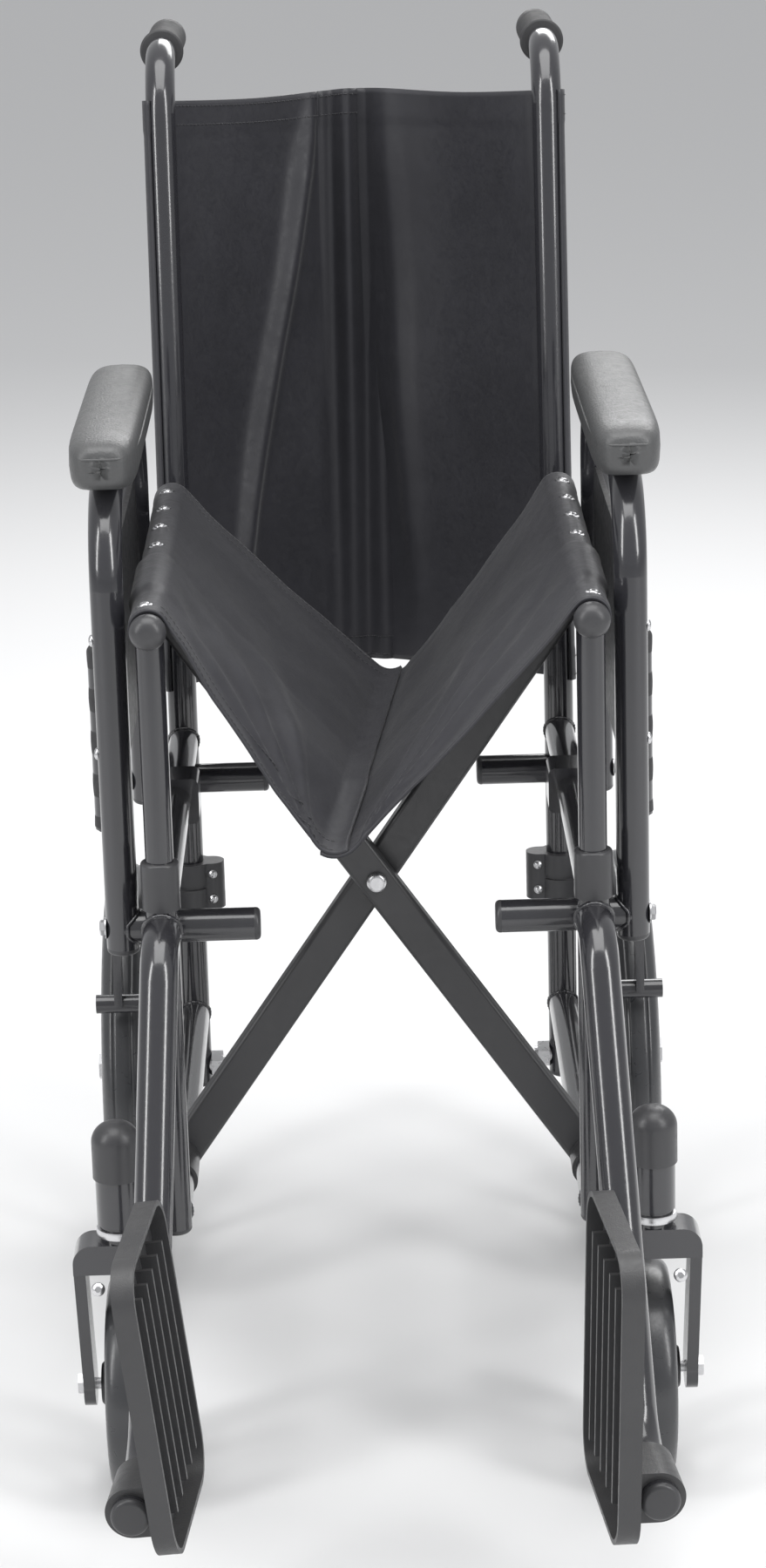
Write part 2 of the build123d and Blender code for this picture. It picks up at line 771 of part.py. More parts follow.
def brace_washer():
    """The thin washer that keeps the two arms apart."""
    gap = brace_side_gap - weld_gap
    start = (0, fore(brace_fore) + gap / 2, brace_centre_z)
    end = (0, fore(brace_fore) - gap / 2, brace_centre_z)
    return rod(start, end, brace_washer_d, brace_bolt_d + 2 * running_gap)


# Slings
def seat_half(side):
    """One half of the seat sling, from its rail down towards the middle."""
    slope = radians(seat_sling_slope)
    down = Vector(-side * cos(slope), 0, -sin(slope))
    normal = Vector(-side * sin(slope), 0, cos(slope))
    root = Vector(side * frame_half, fore(seat_sling_rear_fore), seat_rail_z) + normal * seat_sling_offset
    with BuildPart() as part:
        with BuildSketch(Plane(origin=root, x_dir=down, z_dir=(0, -1, 0))):
            Rectangle(seat_sling_width, sling_thick, align=(Align.MIN, Align.CENTER))
        extrude(amount=seat_sling_front_fore - seat_sling_rear_fore)
    return part


def back_half(side):
    """One half of the back sling, from its cane back towards the middle."""
    lean = radians(recline_deg)
    slope = radians(back_sling_slope)
    up = Vector(0, sin(lean), cos(lean))
    back = Vector(0, cos(lean), -sin(lean))
    inward = Vector(-side * cos(slope), 0, 0) + back * sin(slope)
    root = Vector(side * frame_half, fore(0), recline_z) + up * back_sling_low
    start = tube_r + back_sling_clear
    with BuildPart() as part:
        with BuildSketch(Plane(origin=root + inward * start, x_dir=inward, z_dir=up)):
            Rectangle(back_sling_width - start, sling_thick, align=(Align.MIN, Align.CENTER))
        extrude(amount=back_sling_high - back_sling_low)
    return part


# Foot hangers and footplates
def foot_axis(side):
    """The forward tip of a foot tube and the direction it points in."""
    axis = Vector(side * sin(splay), -cos(splay), 0)
    knee = Vector(side * (frame_half + foot_offset), fore(foot_fore), foot_z)
    tip = knee + axis * foot_length
    return (tip.X, tip.Y, tip.Z), (axis.X, axis.Y, axis.Z)


def hanger(side):
    """The bent tube from the front post down to the footplate's hinge."""
    x = side * frame_half
    tip, _ = foot_axis(side)
    points = (
        (x, fore(front_post_fore + hanger_wall_cope), hanger_top_z),
        (x, fore(hanger_knee_fore), hanger_top_z),
        (side * (frame_half + foot_offset), fore(foot_fore), foot_z),
        tip,
    )
    bent = tube(points, [hanger_knee_bend, foot_bend], hanger_tube_d, tube_wall)
    low = (x, fore(front_post_fore), hanger_top_z - hanger_tube_d)
    high = (x, fore(front_post_fore), hanger_top_z + hanger_tube_d)
    return cut_by(bent, rod(low, high, tube_d + 2 * weld_gap))


def footplate(side, name):
    """The flip-up footplate: a hub on the foot tube, a rimmed plate and ribs inboard."""
    tip, direction = foot_axis(side)
    axis = Vector(*direction)
    lean = radians(plate_lean[name])
    inboard_flat = Vector(-side * cos(splay), -sin(splay), 0)
    inboard = inboard_flat * cos(lean) + Vector(0, 0, 1) * sin(lean)
    origin = Vector(*tip)
    plate_plane = Plane(origin=origin + inboard * plate_inset, x_dir=axis, z_dir=inboard)
    centre = (plate_overhang - plate_length / 2, side * (plate_height - hub_d) / 2)
    hub_start = origin - axis * (hub_length + hub_setback)
    with BuildPart() as part:
        with BuildSketch(plate_plane):
            with Locations(centre):
                RectangleRounded(plate_length, plate_height, plate_corner)
        extrude(amount=plate_thick)
        with BuildSketch(plate_plane.offset(plate_rim)):
            with Locations(centre):
                RectangleRounded(plate_length - 2 * plate_rim, plate_height - 2 * plate_rim,
                                 plate_corner - plate_rim)
        extrude(amount=plate_thick, mode=Mode.SUBTRACT)
        pitch = (plate_length - 2 * plate_rim) / (plate_ribs + 1)
        with BuildSketch(plate_plane.offset(plate_rim - rib_sink)):
            with Locations(centre):
                with GridLocations(pitch, 1, plate_ribs, 1):
                    Rectangle(plate_rim, plate_height - 2 * plate_corner)
        extrude(amount=plate_thick - plate_rim + rib_sink)
        with BuildSketch(Plane(origin=hub_start, z_dir=axis)):
            Circle(hub_d / 2)
        extrude(amount=hub_length)
        with BuildSketch(Plane(origin=hub_start, x_dir=inboard, z_dir=axis)):
            Rectangle(plate_inset + plate_rim, hub_d, align=(Align.MIN, Align.CENTER))
        extrude(amount=hub_length)
        with BuildSketch(Plane(origin=hub_start, z_dir=axis)):
            Circle(hanger_tube_d / 2 + running_gap)
        extrude(amount=hub_length, mode=Mode.SUBTRACT)
    return part


# Wheel locks
def lock_bracket(side):
    """A clamp block on the upper rail, a plate that hangs from it and the lever's pivot pin."""
    x = side * frame_half
    half = lock_clamp_w / 2
    plate_inner = frame_half + half
    bar_inner = rear_wheel_x - lock_bar_t / 2
    pin_end = bar_inner + lock_bar_t + lock_head_t / 2
    low = lock_pivot_z - lock_plate_drop
    height = upper_rail_z + half - lock_corner - low
    middle = (side * (plate_inner - lock_sink), fore(lock_fore), low + height / 2)
    pivot = (side * plate_inner, fore(lock_fore), lock_pivot_z)
    head = (side * (bar_inner + lock_bar_t + seat_gap), fore(lock_fore), lock_pivot_z)
    with BuildPart() as part:
        with BuildSketch(Plane(origin=(x, fore(lock_fore - half), upper_rail_z), z_dir=(0, -1, 0))):
            RectangleRounded(lock_clamp_w, lock_clamp_w, lock_corner)
        extrude(amount=lock_clamp_w)
        with BuildSketch(Plane(origin=(x, fore(lock_fore - half), upper_rail_z), z_dir=(0, -1, 0))):
            Circle(tube_r + running_gap)
        extrude(amount=lock_clamp_w, mode=Mode.SUBTRACT)
        with BuildSketch(Plane(origin=middle, x_dir=(0, 1, 0), z_dir=(side, 0, 0))):
            RectangleRounded(lock_clamp_w - lock_corner, height, 2 * lock_corner)
        extrude(amount=lock_plate_t + lock_sink)
        with BuildSketch(Plane(origin=pivot, z_dir=(side, 0, 0))):
            Circle(lock_pin_d / 2)
        extrude(amount=pin_end - plate_inner)
        with BuildSketch(Plane(origin=pivot, z_dir=(side, 0, 0))):
            Circle(lock_pin_d)
        extrude(amount=bar_inner - seat_gap - plate_inner)
        with BuildSketch(Plane(origin=head, z_dir=(side, 0, 0))):
            Circle(lock_pin_d)
        extrude(amount=lock_head_t)
    return part


def lock_lever(side):
    """The flat lever with its brake shoe below and a long round grip above."""
    y = fore(lock_fore)
    shoe_z = lock_pivot_z - lock_shoe_drop
    bar_top_z = lock_grip_low_z + lock_bar_t
    with BuildPart() as part:
        with BuildSketch(Plane(origin=(side * rear_wheel_x, y, 0), x_dir=(0, 1, 0), z_dir=(1, 0, 0))):
            with Locations((0, (shoe_z + bar_top_z) / 2)):
                Rectangle(lock_bar_w, bar_top_z - shoe_z)
        extrude(amount=lock_bar_t / 2, both=True)
        with BuildSketch(Plane(origin=(side * rear_wheel_x, y, shoe_z), z_dir=(1, 0, 0))):
            Circle(lock_shoe_d / 2)
        extrude(amount=rear_tyre_w / 2, both=True)
        with BuildSketch(Plane(origin=(side * rear_wheel_x, y, lock_grip_low_z))):
            Circle(lock_grip_d / 2)
        extrude(amount=lock_grip_top_z - lock_grip_low_z)
        fillet(part.faces().sort_by(Axis.Z)[-1].edges(), lock_grip_round)
        with BuildSketch(Plane(origin=(side * (rear_wheel_x - lock_bar_t), y, lock_pivot_z), z_dir=(side, 0, 0))):
            Circle(lock_pin_d / 2 + running_gap)
        extrude(amount=2 * lock_bar_t, mode=Mode.SUBTRACT)
    return part


for name, side in (("left", -1), ("right", 1)):
    save(f"back_cane_{name}", back_cane(side))
    save(f"push_grip_{name}", push_grip(side))
    save(f"front_post_{name}", front_post(side))
    save(f"upper_rail_{name}", rail_between_posts(side, upper_rail_z))
    save(f"lower_rail_{name}", rail_between_posts(side, lower_rail_z))
    group(f"stub_tubes_{name}", stub_tube(side, front_stub_fore), stub_tube(side, rear_stub_fore))
    save(f"arm_frame_{name}", arm_frame(side))
    save(f"armrest_pad_{name}", armrest_pad(side))
    save(f"side_panel_{name}", side_panel(side))
    frame_caps(side, name)
    save(f"caster_housing_{name}", caster_housing(side))
    save(f"post_clamp_{name}", post_clamp(side))
    save(f"rear_axle_{name}", rear_axle(side))
    save(f"rear_wheel_{name}", rear_wheel(side))
    save(f"rear_tyre_{name}", rear_tyre(side))
    save(f"caster_fork_{name}", caster_fork(side))
    save(f"caster_axle_{name}", caster_axle(side))
    save(f"caster_wheel_{name}", caster_wheel(side))
    save(f"caster_tyre_{name}", caster_tyre(side))
    save(f"seat_rail_{name}", seat_rail(side))
    seat_rail_plugs(side, name)
    seat_screws(side, name)
    save(f"brace_{name}", brace(side, -side))
    save(f"seat_half_{name}", seat_half(side))
    save(f"back_half_{name}", back_half(side))
    save(f"hanger_{name}", hanger(side))
    save(f"footplate_{name}", footplate(side, name))
    save(f"lock_bracket_{name}", lock_bracket(side))
    save(f"lock_lever_{name}", lock_lever(side))
save("brace_bolt", brace_bolt())
save("brace_washer", brace_washer())
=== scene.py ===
"""A folding transport wheelchair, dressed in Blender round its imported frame.

The chair stands partly folded: its seat sags in a V over the cross brace and its back sling
bulges rearward between the canes. Lengths are in metres, +Z is up and the chair faces -Y.
"""
from __future__ import annotations

import logging
import math
from dataclasses import dataclass, field
from enum import Enum
from typing import Callable, Sequence

import bmesh
import bpy
from mathutils import Matrix, Vector, noise


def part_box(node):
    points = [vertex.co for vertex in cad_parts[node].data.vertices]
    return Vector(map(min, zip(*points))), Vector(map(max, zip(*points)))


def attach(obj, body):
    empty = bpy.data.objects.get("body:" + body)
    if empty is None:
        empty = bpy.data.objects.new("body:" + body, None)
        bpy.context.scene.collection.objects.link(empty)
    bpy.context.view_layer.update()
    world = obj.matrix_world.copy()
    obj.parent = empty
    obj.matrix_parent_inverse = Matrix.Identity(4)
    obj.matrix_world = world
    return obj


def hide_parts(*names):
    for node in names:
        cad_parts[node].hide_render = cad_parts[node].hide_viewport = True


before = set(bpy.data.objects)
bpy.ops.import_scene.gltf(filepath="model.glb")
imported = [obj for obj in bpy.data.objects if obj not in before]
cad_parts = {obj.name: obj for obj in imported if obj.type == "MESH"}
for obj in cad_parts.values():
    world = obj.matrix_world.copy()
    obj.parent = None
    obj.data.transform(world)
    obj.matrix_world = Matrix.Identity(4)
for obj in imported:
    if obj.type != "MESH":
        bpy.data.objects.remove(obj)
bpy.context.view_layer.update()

LOG = logging.getLogger("wheelchair")
MM = 0.001
CLOTH_UV = "cloth_uv"
STITCH_INSETS = (4 * MM, 18 * MM)
SCREW_SHARES = (0.25, 0.75)


class Side(Enum):
    """The chair's two sides, as the sign of X in a front view."""

    LEFT = -1
    RIGHT = 1

    @property
    def label(self) -> str:
        """The side's word in node and body names."""
        return self.name.lower()


def low_high(node: str) -> tuple[Vector, Vector]:
    """Lowest and highest corners of a CAD node at rest."""
    low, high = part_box(node)
    return Vector(low), Vector(high)


def middle(node: str) -> Vector:
    """The middle of a CAD node's box."""
    low, high = low_high(node)
    return (low + high) / 2


@dataclass(frozen=True)
class Datum:
    """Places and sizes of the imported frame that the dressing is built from."""

    frame_x: float
    arm_x: float
    wheel_x: float
    tube_r: float
    rear_y: float
    front_y: float
    lower_z: float
    upper_z: float
    seat_z: float
    brace_y: float

    @classmethod
    def measure(cls) -> "Datum":
        """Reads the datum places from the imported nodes.

        Returns:
            The places, in metres.
        """
        low, high = low_high("front_post_right")
        seat_high = low_high("seat_rail_right")[1]
        tube_r = (high.x - low.x) / 2
        return cls(
            frame_x=(low.x + high.x) / 2,
            arm_x=middle("arm_frame_right").x,
            wheel_x=middle("rear_tyre_right").x,
            tube_r=tube_r,
            rear_y=middle("rear_tyre_right").y,
            front_y=(low.y + high.y) / 2,
            lower_z=middle("lower_rail_right").z,
            upper_z=middle("upper_rail_right").z,
            seat_z=seat_high.z - tube_r,
            brace_y=middle("brace_washer").y,
        )

    def fore(self, distance: float) -> float:
        """Y of a point this far forward of the rear posts."""
        return self.rear_y - distance


def mesh_piece(name: str, points: Sequence[Vector], faces: Sequence[Sequence[int]]) -> bpy.types.Object:
    """Makes a smooth-shaded mesh object.

    Args:
        name: The piece's name.
        points: Vertex places.
        faces: Vertex numbers of each face.

    Returns:
        The new object, linked to the scene.
    """
    mesh = bpy.data.meshes.new(name)
    mesh.from_pydata([tuple(point) for point in points], [], [tuple(face) for face in faces])
    shell = bmesh.new()
    shell.from_mesh(mesh)
    bmesh.ops.recalc_face_normals(shell, faces=shell.faces)
    for face in shell.faces:
        face.smooth = True
    shell.to_mesh(mesh)
    shell.free()
    piece = bpy.data.objects.new(name, mesh)
    bpy.context.scene.collection.objects.link(piece)
    return piece


def smooth_by_angle(piece: bpy.types.Object, degrees: float = 35.0) -> None:
    """Keeps edges sharper than an angle crisp in the shading.

    Args:
        piece: The object.
        degrees: The largest angle between faces that is shaded smooth.
    """
    shell = bmesh.new()
    shell.from_mesh(piece.data)
    limit = math.radians(degrees)
    for face in shell.faces:
        face.smooth = True
    for edge in shell.edges:
        edge.smooth = len(edge.link_faces) != 2 or edge.calc_face_angle(0.0) < limit
    shell.to_mesh(piece.data)
    shell.free()


def stitch_rows(length: float) -> list[float]:
    """Where the stitch rows of both hems run along a cloth of this length."""
    return [*STITCH_INSETS, *(length - inset for inset in reversed(STITCH_INSETS))]


def axes_round(direction: Vector) -> tuple[Vector, Vector]:
    """Two unit vectors square to a direction and to each other.

    Args:
        direction: The direction that both vectors are square to.

    Returns:
        The two vectors.
    """
    along = direction.normalized()
    guide = Vector((0, 0, 1)) if abs(along.z) < 0.9 else Vector((0, 1, 0))
    first = guide.cross(along).normalized()
    return first, along.cross(first)


class MeshBag:
    """Collects simple closed shapes and turns them into one piece."""

    def __init__(self) -> None:
        """Starts with nothing in it."""
        self.points: list[Vector] = []
        self.faces: list[list[int]] = []

    def rings(self, rings: Sequence[Sequence[Vector]], closed: bool = False) -> None:
        """Joins rings of points into a skin, with its ends capped unless it closes on itself.

        Args:
            rings: Rings of equally many points each.
            closed: True if the last ring joins the first.
        """
        start, count = len(self.points), len(rings[0])
        for ring in rings:
            self.points.extend(ring)
        total = len(rings)
        for row in range(total if closed else total - 1):
            for column in range(count):
                a = start + row * count + column
                b = start + row * count + (column + 1) % count
                c = start + ((row + 1) % total) * count + (column + 1) % count
                d = start + ((row + 1) % total) * count + column
                self.faces.append([a, b, c, d])
        if not closed:
            self.faces.append([start + column for column in range(count)][::-1])
            self.faces.append([start + (total - 1) * count + column for column in range(count)])

    def lathe(self, profile: Sequence[tuple[float, float]], origin: Vector, axis: Vector,
              steps: int = 40) -> None:
        """Turns an open profile of (radius, distance) pairs round an axis.

        Args:
            profile: Radius and distance along the axis, from one end to the other.
            origin: A point on the axis, at distance zero.
            axis: The direction of the axis.
            steps: Points round the axis.
        """
        first, second = axes_round(axis)
        along = axis.normalized()
        rings = []
        for radius, distance in profile:
            ring = []
            for step in range(steps):
                angle = math.tau * step / steps
                spoke = first * math.cos(angle) + second * math.sin(angle)
                ring.append(origin + along * distance + spoke * max(radius, 1e-5))
            rings.append(ring)
        self.rings(rings)

    def ring_lathe(self, section: Sequence[tuple[float, float]], origin: Vector, axis: Vector,
                   steps: int = 72) -> None:
        """Turns a closed section round an axis, such as a tyre's or a rim's.

        Args:
            section: Radius and distance along the axis of each point round the closed section.
            origin: A point on the axis, at distance zero.
            axis: The direction of the axis.
            steps: Points round the axis.
        """
        first, second = axes_round(axis)
        along = axis.normalized()
        rings = []
        for step in range(steps):
            angle = math.tau * step / steps
            spoke = first * math.cos(angle) + second * math.sin(angle)
            rings.append([origin + along * distance + spoke * radius for radius, distance in section])
        self.rings(rings, closed=True)

    def rope(self, path: Sequence[Vector], radius: Callable[[float], float] | float, closed: bool = False,
             sides: int = 8) -> None:
        """Sweeps a round section along points, such as a weld bead or a stitch.

        Args:
            path: The points that it follows.
            radius: The section's radius, or a function of the share of the way along.
            closed: True if the path is a loop.
            sides: Points round the section.
        """
        rings = []
        total = len(path)
        normal = None
        for index, point in enumerate(path):
            after = path[(index + 1) % total] if closed or index < total - 1 else point
            before = path[index - 1] if closed or index else point
            along = (after - before).normalized()
            if normal is None:
                normal = axes_round(along)[0]
            normal = (normal - along * normal.dot(along)).normalized()
            other = along.cross(normal)
            size = radius(index / total) if callable(radius) else radius
            rings.append([point + (normal * math.cos(a) + other * math.sin(a)) * size
                          for a in (math.tau * side / sides for side in range(sides))])
        self.rings(rings, closed=closed)

    def slab(self, outline: Sequence[Vector], depth: Vector, bevel: float = 0.0) -> None:
        """A flat plate with its rim eased on both faces.

        Args:
            outline: Points round one face.
            depth: The way to the other face.
            bevel: How far the faces' edges draw in.
        """
        centre = sum(outline, Vector()) / len(outline)
        unit = depth.normalized()

        def drawn(share: float) -> list[Vector]:
            """The outline drawn in towards its middle."""
            return [point + (centre - point).normalized() * share for point in outline]

        rings = [drawn(bevel), [p + unit * bevel for p in outline],
                 [p + depth - unit * bevel for p in outline], [p + depth for p in drawn(bevel)]]
        self.rings(rings if bevel else [list(outline), [p + depth for p in outline]])

    def piece(self, name: str, crisp: float | None = 35.0) -> bpy.types.Object:
        """Turns what was collected into an object.

        Args:
            name: The piece's name.
            crisp: Angle in degrees above which an edge stays crisp, or None for none.

        Returns:
            The object.
        """
        made = mesh_piece(name, self.points, self.faces)
        if crisp is not None:
            smooth_by_angle(made, crisp)
        return made


def arc_profile(radius: float, start: float, end: float, centre: tuple[float, float], steps: int = 6
                ) -> list[tuple[float, float]]:
    """Points of an arc in a lathe's (radius, distance) plane, between two angles in degrees."""
    angles = (math.radians(start + (end - start) * step / steps) for step in range(steps + 1))
    return [(centre[0] + radius * math.cos(a), centre[1] + radius * math.sin(a)) for a in angles]


class Patterns:
    """Shader node groups that several finishes share."""

    def __init__(self) -> None:
        """Builds each group once."""
        self.grain = self._grain()
        self.weave = self._weave()
        self.film = self._film()

    @staticmethod
    def _start(name: str, inputs: Sequence[tuple[str, str, object]], outputs: Sequence[tuple[str, str]]
               ) -> tuple[bpy.types.NodeTree, Callable[..., bpy.types.Node], bpy.types.Node, bpy.types.Node]:
        """Makes an empty group with its sockets.

        Args:
            name: The group's name.
            inputs: Name, socket type and default of each input.
            outputs: Name and socket type of each output.

        Returns:
            The tree, a function that adds a node, and the group's input and output nodes.
        """
        tree = bpy.data.node_groups.new(name, "ShaderNodeTree")
        for label, kind, default in inputs:
            socket = tree.interface.new_socket(name=label, in_out="INPUT", socket_type=kind)
            if default is not None:
                socket.default_value = default
        for label, kind in outputs:
            tree.interface.new_socket(name=label, in_out="OUTPUT", socket_type=kind)

        def add(kind: str, **values: object) -> bpy.types.Node:
            """Adds a node and sets its plain values.

            Args:
                kind: The node's type.
                values: Its plain values.

            Returns:
                The new node.
            """
            node = tree.nodes.new(kind)
            for key, value in values.items():
                setattr(node, key, value)
            return node

        return tree, add, add("NodeGroupInput"), add("NodeGroupOutput")

    def _grain(self) -> bpy.types.NodeTree:
        """Fine pebbled grain, as on vinyl or moulded plastic, with a slow tone change.

        Returns:
            The group, with a height and a tone.
        """
        tree, add, given, out = self._start(
            "fine_grain",
            [("Vector", "NodeSocketVector", None), ("Scale", "NodeSocketFloat", 900.0),
             ("Softness", "NodeSocketFloat", 0.5)],
            [("Height", "NodeSocketFloat"), ("Tone", "NodeSocketFloat")],
        )
        link = tree.links.new
        cells = add("ShaderNodeTexVoronoi", feature="SMOOTH_F1")
        link(given.outputs["Vector"], cells.inputs["Vector"])
        link(given.outputs["Scale"], cells.inputs["Scale"])
        link(given.outputs["Softness"], cells.inputs["Smoothness"])
        slow = add("ShaderNodeTexNoise")
        slow.inputs["Scale"].default_value = 9.0
        slow.inputs["Detail"].default_value = 4.0
        link(given.outputs["Vector"], slow.inputs["Vector"])
        link(cells.outputs["Distance"], out.inputs["Height"])
        link(slow.outputs["Fac"], out.inputs["Tone"])
        return tree

    def _weave(self) -> bpy.types.NodeTree:
        """Plain weave from two crossed thread waves, in cloth coordinates.

        Returns:
            The group, with a height and the threads' unevenness.
        """
        tree, add, given, out = self._start(
            "plain_weave",
            [("Vector", "NodeSocketVector", None), ("Threads", "NodeSocketFloat", 900.0)],
            [("Height", "NodeSocketFloat"), ("Slub", "NodeSocketFloat")],
        )
        link = tree.links.new
        split = add("ShaderNodeSeparateXYZ")
        link(given.outputs["Vector"], split.inputs["Vector"])
        waves = []
        for axis in ("X", "Y"):
            scaled = add("ShaderNodeMath", operation="MULTIPLY")
            link(split.outputs[axis], scaled.inputs[0])
            link(given.outputs["Threads"], scaled.inputs[1])
            wave = add("ShaderNodeMath", operation="SINE")
            link(scaled.outputs[0], wave.inputs[0])
            waves.append(wave)
        crossed = add("ShaderNodeMath", operation="MULTIPLY")
        link(waves[0].outputs[0], crossed.inputs[0])
        link(waves[1].outputs[0], crossed.inputs[1])
        raised = add("ShaderNodeMath", operation="MULTIPLY_ADD")
        raised.inputs[1].default_value = 0.5
        raised.inputs[2].default_value = 0.5
        link(crossed.outputs[0], raised.inputs[0])
        slub = add("ShaderNodeTexNoise")
        slub.inputs["Scale"].default_value = 38.0
        slub.inputs["Detail"].default_value = 5.0
        link(given.outputs["Vector"], slub.inputs["Vector"])
        link(raised.outputs[0], out.inputs["Height"])
        link(slub.outputs["Fac"], out.inputs["Slub"])
        return tree

    def _film(self) -> bpy.types.NodeTree:
        """A thin handling film: dust that settles on what faces up, and small scuffs.

        Returns:
            The group, with a colour, a roughness and the scuffs.
        """
        tree, add, given, out = self._start(
            "handling_film",
            [("Vector", "NodeSocketVector", None), ("Colour", "NodeSocketColor", (0.02, 0.02, 0.02, 1)),
             ("Dust", "NodeSocketColor", (0.3, 0.29, 0.27, 1)), ("Amount", "NodeSocketFloat", 0.05),
             ("Rough", "NodeSocketFloat", 0.3)],
            [("Colour", "NodeSocketColor"), ("Roughness", "NodeSocketFloat"), ("Scuff", "NodeSocketFloat")],
        )
        link = tree.links.new
        place = add("ShaderNodeNewGeometry")
        split = add("ShaderNodeSeparateXYZ")
        link(place.outputs["Normal"], split.inputs["Vector"])
        up = add("ShaderNodeMapRange")
        up.inputs["From Min"].default_value = 0.35
        link(split.outputs["Z"], up.inputs["Value"])
        blotch = add("ShaderNodeTexNoise")
        blotch.inputs["Scale"].default_value = 26.0
        blotch.inputs["Detail"].default_value = 6.0
        link(given.outputs["Vector"], blotch.inputs["Vector"])
        settled = add("ShaderNodeMath", operation="MULTIPLY")
        link(up.outputs["Result"], settled.inputs[0])
        link(blotch.outputs["Fac"], settled.inputs[1])
        share = add("ShaderNodeMath", operation="MULTIPLY")
        link(settled.outputs[0], share.inputs[0])
        link(given.outputs["Amount"], share.inputs[1])
        mixed = add("ShaderNodeMix", data_type="RGBA")
        link(share.outputs[0], mixed.inputs["Factor"])
        link(given.outputs["Colour"], mixed.inputs["A"])
        link(given.outputs["Dust"], mixed.inputs["B"])
        scuff = add("ShaderNodeTexNoise")
        scuff.inputs["Scale"].default_value = 120.0
        scuff.inputs["Detail"].default_value = 2.0
        scuff.inputs["Distortion"].default_value = 1.5
        link(given.outputs["Vector"], scuff.inputs["Vector"])
        spread = add("ShaderNodeMapRange")
        spread.inputs["From Min"].default_value = 0.3
        spread.inputs["From Max"].default_value = 0.8
        spread.inputs["To Min"].default_value = 0.9
        spread.inputs["To Max"].default_value = 1.35
        link(scuff.outputs["Fac"], spread.inputs["Value"])
        rough = add("ShaderNodeMath", operation="MULTIPLY")
        link(spread.outputs["Result"], rough.inputs[0])
        link(given.outputs["Rough"], rough.inputs[1])
        link(mixed.outputs["Result"], out.inputs["Colour"])
        link(rough.outputs[0], out.inputs["Roughness"])
        link(scuff.outputs["Fac"], out.inputs["Scuff"])
        return tree


class Relief(Enum):
    """What a finish's surface relief is made of."""

    GRAIN = "grain"
    WEAVE = "weave"
    SKIN = "skin"


@dataclass(frozen=True)
class Finish:
    """One surface finish and how its material is made."""

    name: str
    colour: tuple[float, float, float]
    roughness: float
    metallic: float = 0.0
    specular: float = 0.5
    coat: float = 0.0
    coat_roughness: float = 0.08
    sheen: float = 0.0
    dust: float = 0.04
    relief: Relief = Relief.SKIN
    relief_scale: float = 700.0
    relief_depth: float = 0.0001
    tone: float = 0.25

    def build(self, patterns: Patterns) -> bpy.types.Material:
        """Makes the material.

        Args:
            patterns: The shared node groups.

        Returns:
            The material, with its colour, roughness and bump from nodes.
        """
        material = bpy.data.materials.new(self.name)
        material.use_nodes = True
        tree = material.node_tree
        link = tree.links.new
        shader = tree.nodes["Principled BSDF"]
        shader.inputs["Metallic"].default_value = self.metallic
        shader.inputs["Specular IOR Level"].default_value = self.specular
        shader.inputs["Coat Weight"].default_value = self.coat
        shader.inputs["Coat Roughness"].default_value = self.coat_roughness
        shader.inputs["Sheen Weight"].default_value = self.sheen
        shader.inputs["Sheen Roughness"].default_value = 0.4
        place = tree.nodes.new("ShaderNodeTexCoord")
        film = self._group(tree, patterns.film)
        film.inputs["Amount"].default_value = self.dust
        film.inputs["Rough"].default_value = self.roughness
        link(place.outputs["Object"], film.inputs["Vector"])
        if self.relief is Relief.WEAVE:
            weave = self._group(tree, patterns.weave)
            cloth = tree.nodes.new("ShaderNodeUVMap")
            cloth.uv_map = CLOTH_UV
            link(cloth.outputs["UV"], weave.inputs["Vector"])
            weave.inputs["Threads"].default_value = math.tau * self.relief_scale
            height, tone = weave.outputs["Height"], weave.outputs["Slub"]
        else:
            grain = self._group(tree, patterns.grain)
            link(place.outputs["Object"], grain.inputs["Vector"])
            grain.inputs["Scale"].default_value = self.relief_scale
            height, tone = grain.outputs["Height"], grain.outputs["Tone"]
        tint = tree.nodes.new("ShaderNodeMix")
        tint.data_type = "RGBA"
        link(tone, tint.inputs["Factor"])
        tint.inputs["A"].default_value = (*(c * (1 - self.tone) for c in self.colour), 1)
        tint.inputs["B"].default_value = (*(c * (1 + self.tone) for c in self.colour), 1)
        link(tint.outputs["Result"], film.inputs["Colour"])
        link(film.outputs["Colour"], shader.inputs["Base Color"])
        link(film.outputs["Roughness"], shader.inputs["Roughness"])
        bump = tree.nodes.new("ShaderNodeBump")
        bump.inputs["Distance"].default_value = self.relief_depth
        bump.inputs["Strength"].default_value = 0.6
        link(height, bump.inputs["Height"])
        link(bump.outputs["Normal"], shader.inputs["Normal"])
        return material

    @staticmethod
    def _group(tree: bpy.types.NodeTree, group: bpy.types.NodeTree) -> bpy.types.Node:
        """Places a shared group in a material's tree.

        Args:
            tree: The material's node tree.
            group: The shared group.

        Returns:
            The placed node.
        """
        node = tree.nodes.new("ShaderNodeGroup")
        node.node_tree = group
        return node


